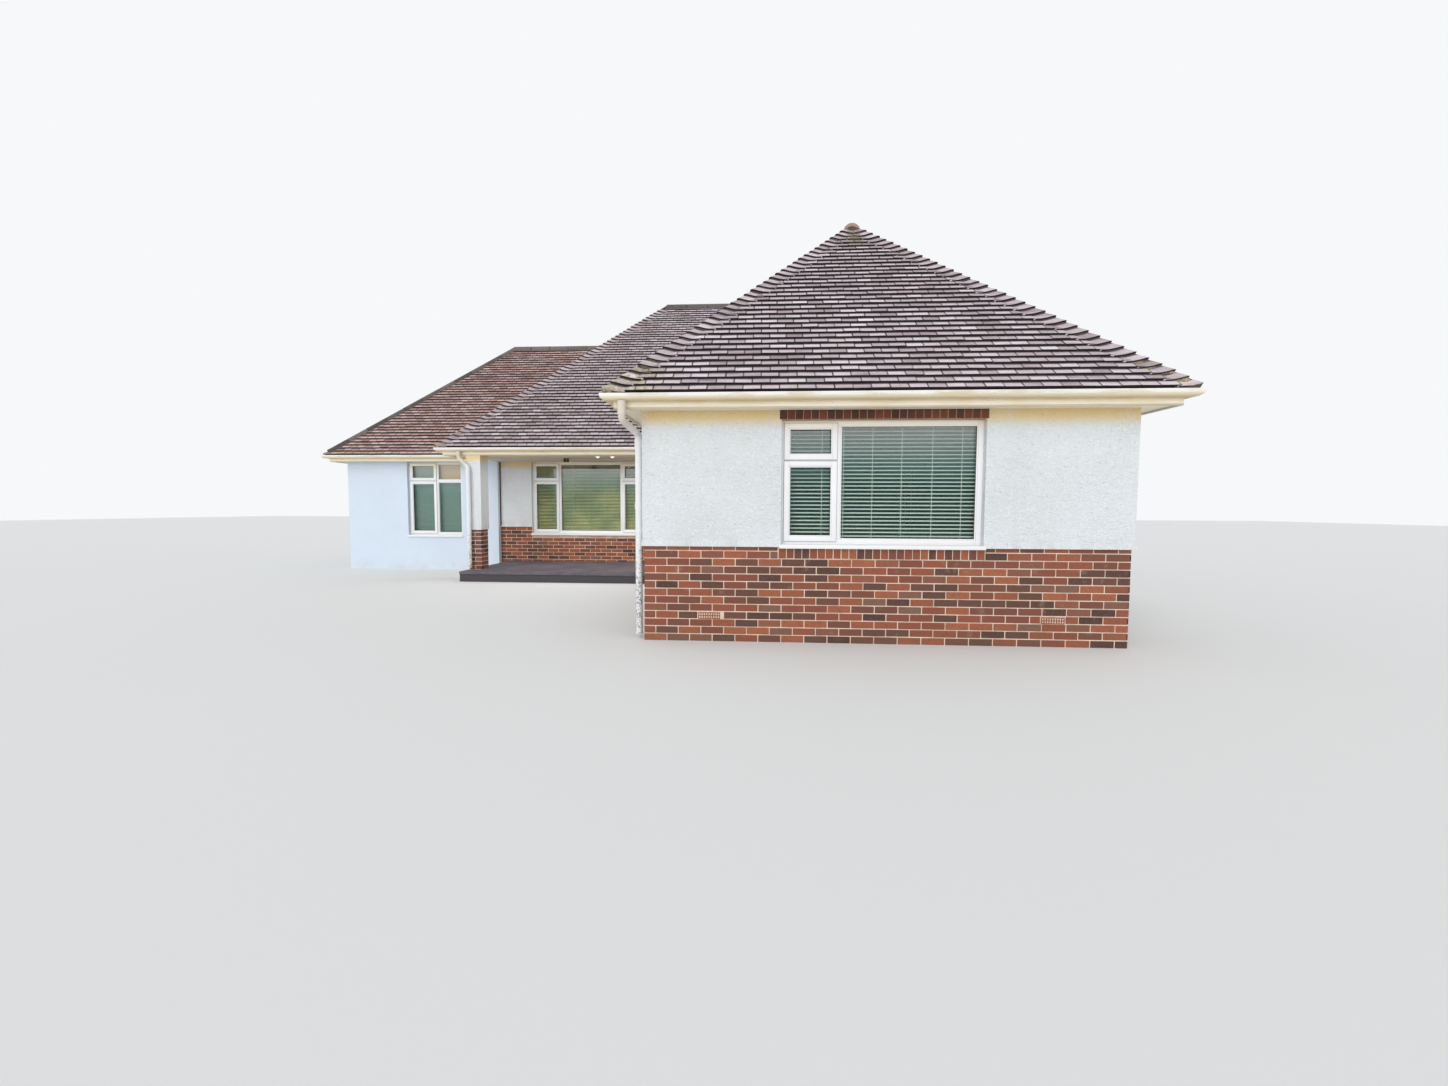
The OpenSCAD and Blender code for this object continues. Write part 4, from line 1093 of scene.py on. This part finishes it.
class HOUSE_OT_downpipes(bpy.types.Operator):
    """Fit the downpipes with their swan-necks, sockets and clips"""
    bl_idname = "house.downpipes"
    bl_label = "Downpipes"

    def execute(self, context):
        top = 2.298
        for name, node, key, outlet, foot, wall, bend_z, fall in (
                ("wing_pipe", "wing_downpipe", "old_pipe", (-0.13, -0.275), (-0.054, 0.1, 0.045),
                 -90, 2.126, 0.24),
                ("porch_pipe", "porch_downpipe", "old_pipe", (-4.215, 4.465), (-4.048, 4.466, 0.225),
                 0, 2.187, 1.0),
                ("rear_pipe", "rear_downpipe", "gutter", (4.52, 11.575), (4.52, 11.354, 0.045),
                 180, 2.126, 0.24)):
            fx, fy, fz = foot
            low_z = bend_z - fall * math.dist(outlet, foot[:2])
            points = [spot(*outlet, top), spot(*outlet, bend_z), spot(fx, fy, low_z), spot(*foot)]
            bm = bent_pipe(points, 0.034, 0.06)
            rod(bm, spot(*outlet, top), spot(*outlet, bend_z + 0.045), 0.039, 24)
            for high, low in ((low_z - 0.045, low_z - 0.115), (1.36, 1.3)):
                rod(bm, spot(fx, fy, high), spot(fx, fy, low), 0.0385, 24)
            place = wall_frame(fx, fy, wall)
            for z in (1.9, 1.06):
                rod(bm, spot(fx, fy, z), spot(fx, fy, z + 0.036), 0.0388, 24)
                block(bm, place, -0.011, 0.011, 0.03, 0.054, z + 0.005, z + 0.031)
                block(bm, place, -0.055, 0.055, 0.0495, 0.0535, z + 0.001, z + 0.035)
                for side in (-0.047, 0.047):
                    a, b = (place @ Vector((side, y, z + 0.018)) for y in (0.0445, 0.05))
                    rod(bm, a, b, 0.004, 10)
            finish_piece(name, bm, key, "gutter_plastic", node, smooth=40)
        return {"FINISHED"}


# Porch and door

class HOUSE_OT_porch(bpy.types.Operator):
    """Fit the porch lights, the corner strip and the front door's panels and handle"""
    bl_idname = "house.porch"
    bl_label = "Porch and Door"

    def execute(self, context):
        bm = bmesh.new()
        top = 2.25
        block(bm, PORCH, 1.66, 1.76, -0.87, -0.81, top - 0.012, top)
        for x in (1.682, 1.738):
            rod(bm, PORCH @ Vector((x, -0.84, top - 0.01)), PORCH @ Vector((x, -0.855, top - 0.068)),
                0.02, 24, 0.026)
        finish_piece("porch_twin_lamp", bm, "black", "painted_board", smooth=40)
        bm = bmesh.new()
        y = 5.056
        for x in (-1.866, -1.59):
            rod(bm, spot(x, y, top), spot(x, y, top - 0.006), 0.042, 28, 0.036)
            rod(bm, spot(x, y, top - 0.005), spot(x, y, top - 0.022), 0.026, 28, 0.022)
        finish_piece("porch_spotlights", bm, "lamp", "painted_board", smooth=40)
        bm = bmesh.new()
        # The corner strip stands in for a timber batten and the shadow in the gap between the walls.
        block(bm, PORCH, 0.0005, 0.02, -0.014, 0.002, PORCH_PLINTH_Z + 0.005, 2.248)
        soften(bm, 0.002)
        finish_piece("porch_corner_strip", bm, "timber_and_gap_shade", "painted_board")
        self.door()
        return {"FINISHED"}

    def door(self):
        """Panels and a handle for the front door."""
        place = WING_LEFT @ moved(DOOR_X, 0, FLOOR_Z)
        bm = bmesh.new()
        for x in (0.151, 0.5175):
            for z in (0.196, 1.095):
                ring(bm, place, (x, z, x + 0.2615, z + 0.749), 0.018, 0.018, 0.079, 0.094)
                block(bm, place, x + 0.045, x + 0.2165, 0.084, 0.094, z + 0.045, z + 0.704)
        soften(bm, 0.004, 2)
        finish_piece("front_door_panels", bm, "window_plastic", "window_plastic", smooth=35)
        bm = bmesh.new()
        block(bm, place, 0.812, 0.847, 0.075, 0.084, 0.9, 1.12)
        rod(bm, place @ Vector((0.83, 0.08, 1.04)), place @ Vector((0.83, 0.045, 1.04)), 0.009)
        rod(bm, place @ Vector((0.837, 0.045, 1.04)), place @ Vector((0.717, 0.045, 1.04)), 0.009)
        soften(bm, 0.0015)
        finish_piece("front_door_handle", bm, "metal", "window_plastic", smooth=35)


# Solids that stay in view, by finish
DRESSED = {
    "roughcast": ("wing_front_wall", "wing_left_wall", "right_wall", "rear_wall", "porch_wall",
                  "porch_pier", "porch_beam"),
    "smooth_render": ("extension_wall",),
    "mortar": ("house_plinth", "porch_plinth", "window_header_course"),
    "slab": ("wing_roof_front", "wing_roof_left", "right_roof", "main_roof_front", "main_roof_left",
             "rear_roof", "extension_roof_front", "extension_roof_left"),
    "glass": ("front_window_glass", "porch_window_glass", "extension_window_glass"),
    "dark_glass": ("back_window_glass",),
    "window_plastic": ("front_door", "front_door_frame"),
    "gutter": ("house_gutter", "porch_gutter", "extension_gutter"),
    "board": ("house_eaves", "porch_eaves", "extension_eaves"),
    "paving": ("porch_floor",),
    "ceiling": ("porch_ceiling",),
    "concrete": ("ground_floor",),
}


class HOUSE_OT_solids(bpy.types.Operator):
    """Finish the walls, roof slabs, glass, gutters and boards"""
    bl_idname = "house.solids"
    bl_label = "Solids"

    def execute(self, context):
        for key, nodes in DRESSED.items():
            for node in nodes:
                slots = NODES[node].data.materials
                slots.clear()
                slots.append(finish(key))
        return {"FINISHED"}


# Stage

class HOUSE_OT_stage(bpy.types.Operator):
    """Set the floor, the light and the camera"""
    bl_idname = "house.stage"
    bl_label = "Stage"

    def camera(self, scene):
        """The photograph's viewpoint: 1448 by 1086, with a focal length of 581.2 pixels."""
        yaw, pitch, roll = 3.569, 3.497, 0.22
        data = bpy.data.cameras.new("camera")
        data.sensor_width = 36.0
        data.lens = data.sensor_width * 581.2 / 1448
        data.clip_end = 200
        camera = bpy.data.objects.new("camera", data)
        camera.matrix_world = (Matrix.Translation(spot(1.157, -5.643, 1.318)) @ turned(yaw, "Z")
                               @ turned(90 - pitch, "X") @ turned(roll, "Z"))
        scene.collection.objects.link(camera)
        scene.camera = camera

    def lamp(self, scene, name, kind, place, colour, energy, **shape):
        """A light that no camera or mirror sees."""
        data = bpy.data.lights.new(name, kind)
        data.color, data.energy = colour, energy
        for key, value in shape.items():
            setattr(data, key, value)
        lamp = bpy.data.objects.new(name, data)
        lamp.matrix_world = place
        lamp.visible_camera = lamp.visible_glossy = False
        scene.collection.objects.link(lamp)

    def execute(self, context):
        scene, look = context.scene, context.scene.house_stage
        scene.view_settings.view_transform = "Standard"
        bm = bmesh.new()
        bmesh.ops.create_grid(bm, x_segments=1, y_segments=1, size=60)
        mesh = bpy.data.meshes.new("floor")
        bm.to_mesh(mesh)
        bm.free()
        floor = bpy.data.objects.new("floor", mesh)
        scene.collection.objects.link(floor)
        f = Finish("Studio Floor")
        f.colour = tuple(look.floor_colour)
        f.surface(0.9)
        mesh.materials.append(f.material)
        scene.world = bpy.data.worlds.new("studio")
        world = Nodes(scene.world)
        rays = [world.node("ShaderNodeLightPath", out=f"Is {kind} Ray")
                for kind in ("Camera", "Glossy", "Transmission")]
        lit = world.node("ShaderNodeBackground", {0: (0.93, 0.96, 1.0), 1: look.sky})
        seen = world.node("ShaderNodeBackground", {0: (0.93, 0.94, 0.95), 1: 1.0})
        share = rays[0].most(rays[1]).most(rays[2])
        mixed = world.node("ShaderNodeMixShader", {0: share, 1: lit, 2: seen})
        world.node("ShaderNodeOutputWorld", {0: mixed})
        for name, energy, spread, height, turn in (("key", 0.6, 25, 42, -24), ("fill", 1.15, 50, 9, -10)):
            self.lamp(scene, name, "SUN", turned(turn, "Z") @ turned(90 - height, "X"), (1.0, 0.975, 0.94),
                      energy, angle=math.radians(spread))
        self.lamp(scene, "porch glow", "AREA", Matrix.Translation(spot(-1.9, 5.0, 2.2)), (1.0, 0.97, 0.93),
                  25.0, shape="RECTANGLE", size=2.6, size_y=0.7)
        self.camera(scene)
        return {"FINISHED"}


class HOUSE_PT_panel(bpy.types.Panel):
    """Sizes of the bungalow's details, and the operators that build them"""
    bl_idname = "HOUSE_PT_panel"
    bl_label = "Bungalow"
    bl_space_type = "VIEW_3D"
    bl_region_type = "UI"
    bl_category = "Bungalow"

    def draw(self, context):
        for name, group in GROUPS.items():
            box = self.layout.box()
            for size in group.__annotations__:
                box.prop(getattr(context.scene, name), size)
        for operator in OPERATORS:
            self.layout.operator(operator.bl_idname)


GROUPS = {
    "house_tiles": TileSizes, "house_bricks": BrickSizes, "house_blinds": BlindSizes,
    "house_stage": StageLook,
}
OPERATORS = (HOUSE_OT_stage, HOUSE_OT_solids, HOUSE_OT_roof_tiles, HOUSE_OT_hip_tiles, HOUSE_OT_brickwork,
             HOUSE_OT_windows, HOUSE_OT_blinds, HOUSE_OT_downpipes, HOUSE_OT_porch)
CLASSES = (*GROUPS.values(), *OPERATORS, HOUSE_PT_panel)


def register():
    for each in CLASSES:
        bpy.utils.register_class(each)
    for name, group in GROUPS.items():
        setattr(bpy.types.Scene, name, PointerProperty(type=group))


def unregister():
    for name in GROUPS:
        delattr(bpy.types.Scene, name)
    for each in reversed(CLASSES):
        bpy.utils.unregister_class(each)


def main():
    register()
    for operator in OPERATORS:
        group, name = operator.bl_idname.split(".")
        getattr(getattr(bpy.ops, group), name)()
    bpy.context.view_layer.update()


if __name__ == "__main__":
    main()
